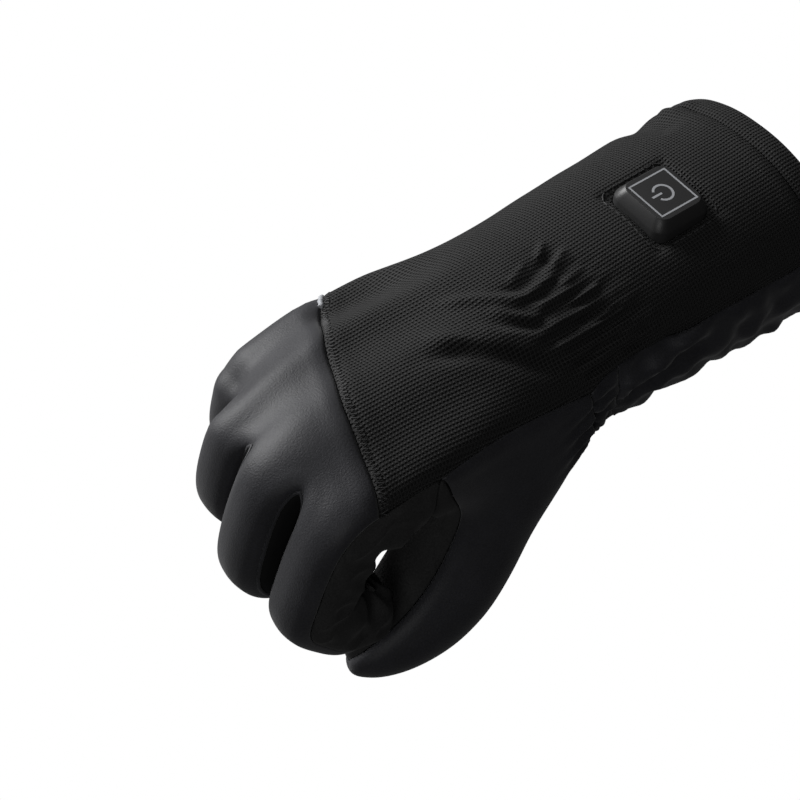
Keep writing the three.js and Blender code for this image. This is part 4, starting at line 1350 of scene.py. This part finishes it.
# slot: name, dark and light colour, roughness, specular, sheen, grain, patch, relief in mm
CLOTHS = {
    "softshell": ("softshell_black", (0.0155, 0.0156, 0.0185), (0.033, 0.0333, 0.0385),
                  0.55, 0.3, 0.12, 1700.0, 70.0, 0.12),
    "suede": ("suede_charcoal", (0.02, 0.02, 0.0201), (0.042, 0.042, 0.0421),
              0.85, 0.05, 0.05, 1700.0, 90.0, 0.14),
    "gusset": ("gusset_black", (0.006, 0.006, 0.0062), (0.010, 0.010, 0.0102),
               0.8, 0.15, 0.0, 3000.0, 90.0, 0.04),
    "rubber": ("rubber_black", (0.026, 0.026, 0.0265), (0.035, 0.035, 0.0355),
               0.42, 0.4, 0.0, 4000.0, 50.0, 0.01),
    "print": ("print_grey", (0.38, 0.39, 0.41), (0.44, 0.45, 0.47),
              0.6, 0.2, 0.0, 5000.0, 300.0, 0.01),
    # thread: black thread coloured grey, which is painted sheen
    "thread": ("thread_painted_sheen", (0.035, 0.035, 0.036), (0.055, 0.055, 0.056),
               0.6, 0.25, 0.1, 6000.0, 200.0, 0.02),
}
for slot, row in CLOTHS.items():
    finishes[slot] = cloth_material(*row)
print("finishes:", ", ".join(finishes))

# %% [markdown]
# ## Dress the frame
# Each panel and the button take the place of the solid of the same name, so nothing is shown twice.
# Threads and print have no solid of their own. All of them ride on the glove's one body.

# %% Put every panel on the glove
SLOTS = {"back_knit": "ribbed_knit", "finger_shell": "softshell", "palm_suede": "suede",
         "thumb_back": "softshell", "thumb_front": "suede", "wrist_ruche": "softshell",
         "cuff_under": "softshell", "cuff_hem": "ribbed_knit"}


def finish_piece(obj, slot, replaced=None):
    obj.data.materials.clear()
    obj.data.materials.append(finishes[slot])
    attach(obj, "root")
    if replaced:
        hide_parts(replaced)


for name, obj in panels.items():
    finish_piece(obj, SLOTS.get(name, "gusset"), name)
finish_piece(button, "rubber", "button_cap")
for band in (frame_line, sign_ring, sign_bar):
    finish_piece(band, "print")
finish_piece(piping, "print")
finish_piece(overlock, "thread")
finish_piece(button_stitches, "thread")
finish_piece(slot_rolls, "softshell")
print("panels finished:", len(panels))

# %% [markdown]
# ## Floor, light and camera
# The photograph is a studio picture on white: one large soft light from the upper left, a white
# surface far below the glove, and a long lens that looks down at the thumb side of the fist.

# %% Floor
FLOOR_SIZE = 6
FLOOR_PLACE = (0, 0, -0.45)
FLOOR_TONE = (0.12, 0.12, 0.12, 1)


def studio_white(tree, lit_shader, output):
    """White where the camera looks at it, and a darker lit surface for everything else."""
    white = tree.nodes.new("ShaderNodeEmission")
    white.inputs["Strength"].default_value = 1.0
    rays = tree.nodes.new("ShaderNodeLightPath")
    mix = tree.nodes.new("ShaderNodeMixShader")
    tree.links.new(rays.outputs["Is Camera Ray"], mix.inputs[0])
    tree.links.new(lit_shader, mix.inputs[1])
    tree.links.new(white.outputs[0], mix.inputs[2])
    tree.links.new(mix.outputs[0], output.inputs["Surface"])


bpy.ops.object.select_all(action="DESELECT")
bpy.ops.mesh.primitive_plane_add(size=FLOOR_SIZE, location=FLOOR_PLACE)
floor = bpy.context.object
floor.name = "floor"
floor_material, floor_tree, floor_surface, _ = start_material("floor_white", 0.9, 0.0)
floor_surface.inputs["Base Color"].default_value = FLOOR_TONE
studio_white(floor_tree, floor_surface.outputs[0], floor_tree.nodes["Material Output"])
floor.data.materials.append(floor_material)
print("floor", FLOOR_SIZE, "m wide")

# %% Lights
AMBIENT = 0.012
# name, way from the glove, distance and size in metres, power in watts
LIGHTS = [("key", (0.42, -1.6, 0.62), 1.5, 1.0, 34),
          ("top", (-0.3, -0.3, 1.0), 1.6, 1.2, 2.5),
          ("fill", (0.9, 0.6, 0.7), 1.8, 0.9, 6.0)]

world = bpy.data.worlds.new("studio")
world.use_nodes = True
ambient = world.node_tree.nodes["Background"]
ambient.inputs["Color"].default_value = (1, 1, 1, 1)
ambient.inputs["Strength"].default_value = AMBIENT
studio_white(world.node_tree, ambient.outputs[0], world.node_tree.nodes["World Output"])
bpy.context.scene.world = world
for name, way, distance, size, power in LIGHTS:
    light = bpy.data.lights.new(name, "AREA")
    light.shape = "DISK"
    light.size = size
    light.energy = power
    lamp = bpy.data.objects.new(name, light)
    lamp.location = Vector(way).normalized() * distance
    lamp.rotation_euler = (-lamp.location).to_track_quat("-Z", "Y").to_euler()
    bpy.context.scene.collection.objects.link(lamp)
print("lights:", len(LIGHTS))

# %% Camera
CAMERA_DISTANCE = 0.750
CAMERA_WAY = Vector((0.52, 0.431, 0.738)).normalized()
CAMERA_RIGHT = (-0.741, 0.659, 0.137)
CAMERA_LENS = 104.6
SENSOR_WIDTH = 36
CAMERA_SHIFT = (-0.141, -0.0775)

camera_data = bpy.data.cameras.new("camera")
camera_data.lens = CAMERA_LENS
camera_data.sensor_width = SENSOR_WIDTH
camera_data.shift_x, camera_data.shift_y = CAMERA_SHIFT
camera_data.clip_start = 0.01
camera = bpy.data.objects.new("camera", camera_data)
bpy.context.scene.collection.objects.link(camera)
right = Vector(CAMERA_RIGHT)
right = (right - right.dot(CAMERA_WAY) * CAMERA_WAY).normalized()
up = CAMERA_WAY.cross(right)
turned = Matrix((right, up, CAMERA_WAY)).transposed().to_4x4()
camera.matrix_world = Matrix.Translation(CAMERA_WAY * CAMERA_DISTANCE) @ turned
bpy.context.scene.camera = camera
bpy.context.scene.view_settings.view_transform = "Standard"
print("camera at", [round(v, 3) for v in camera.location])
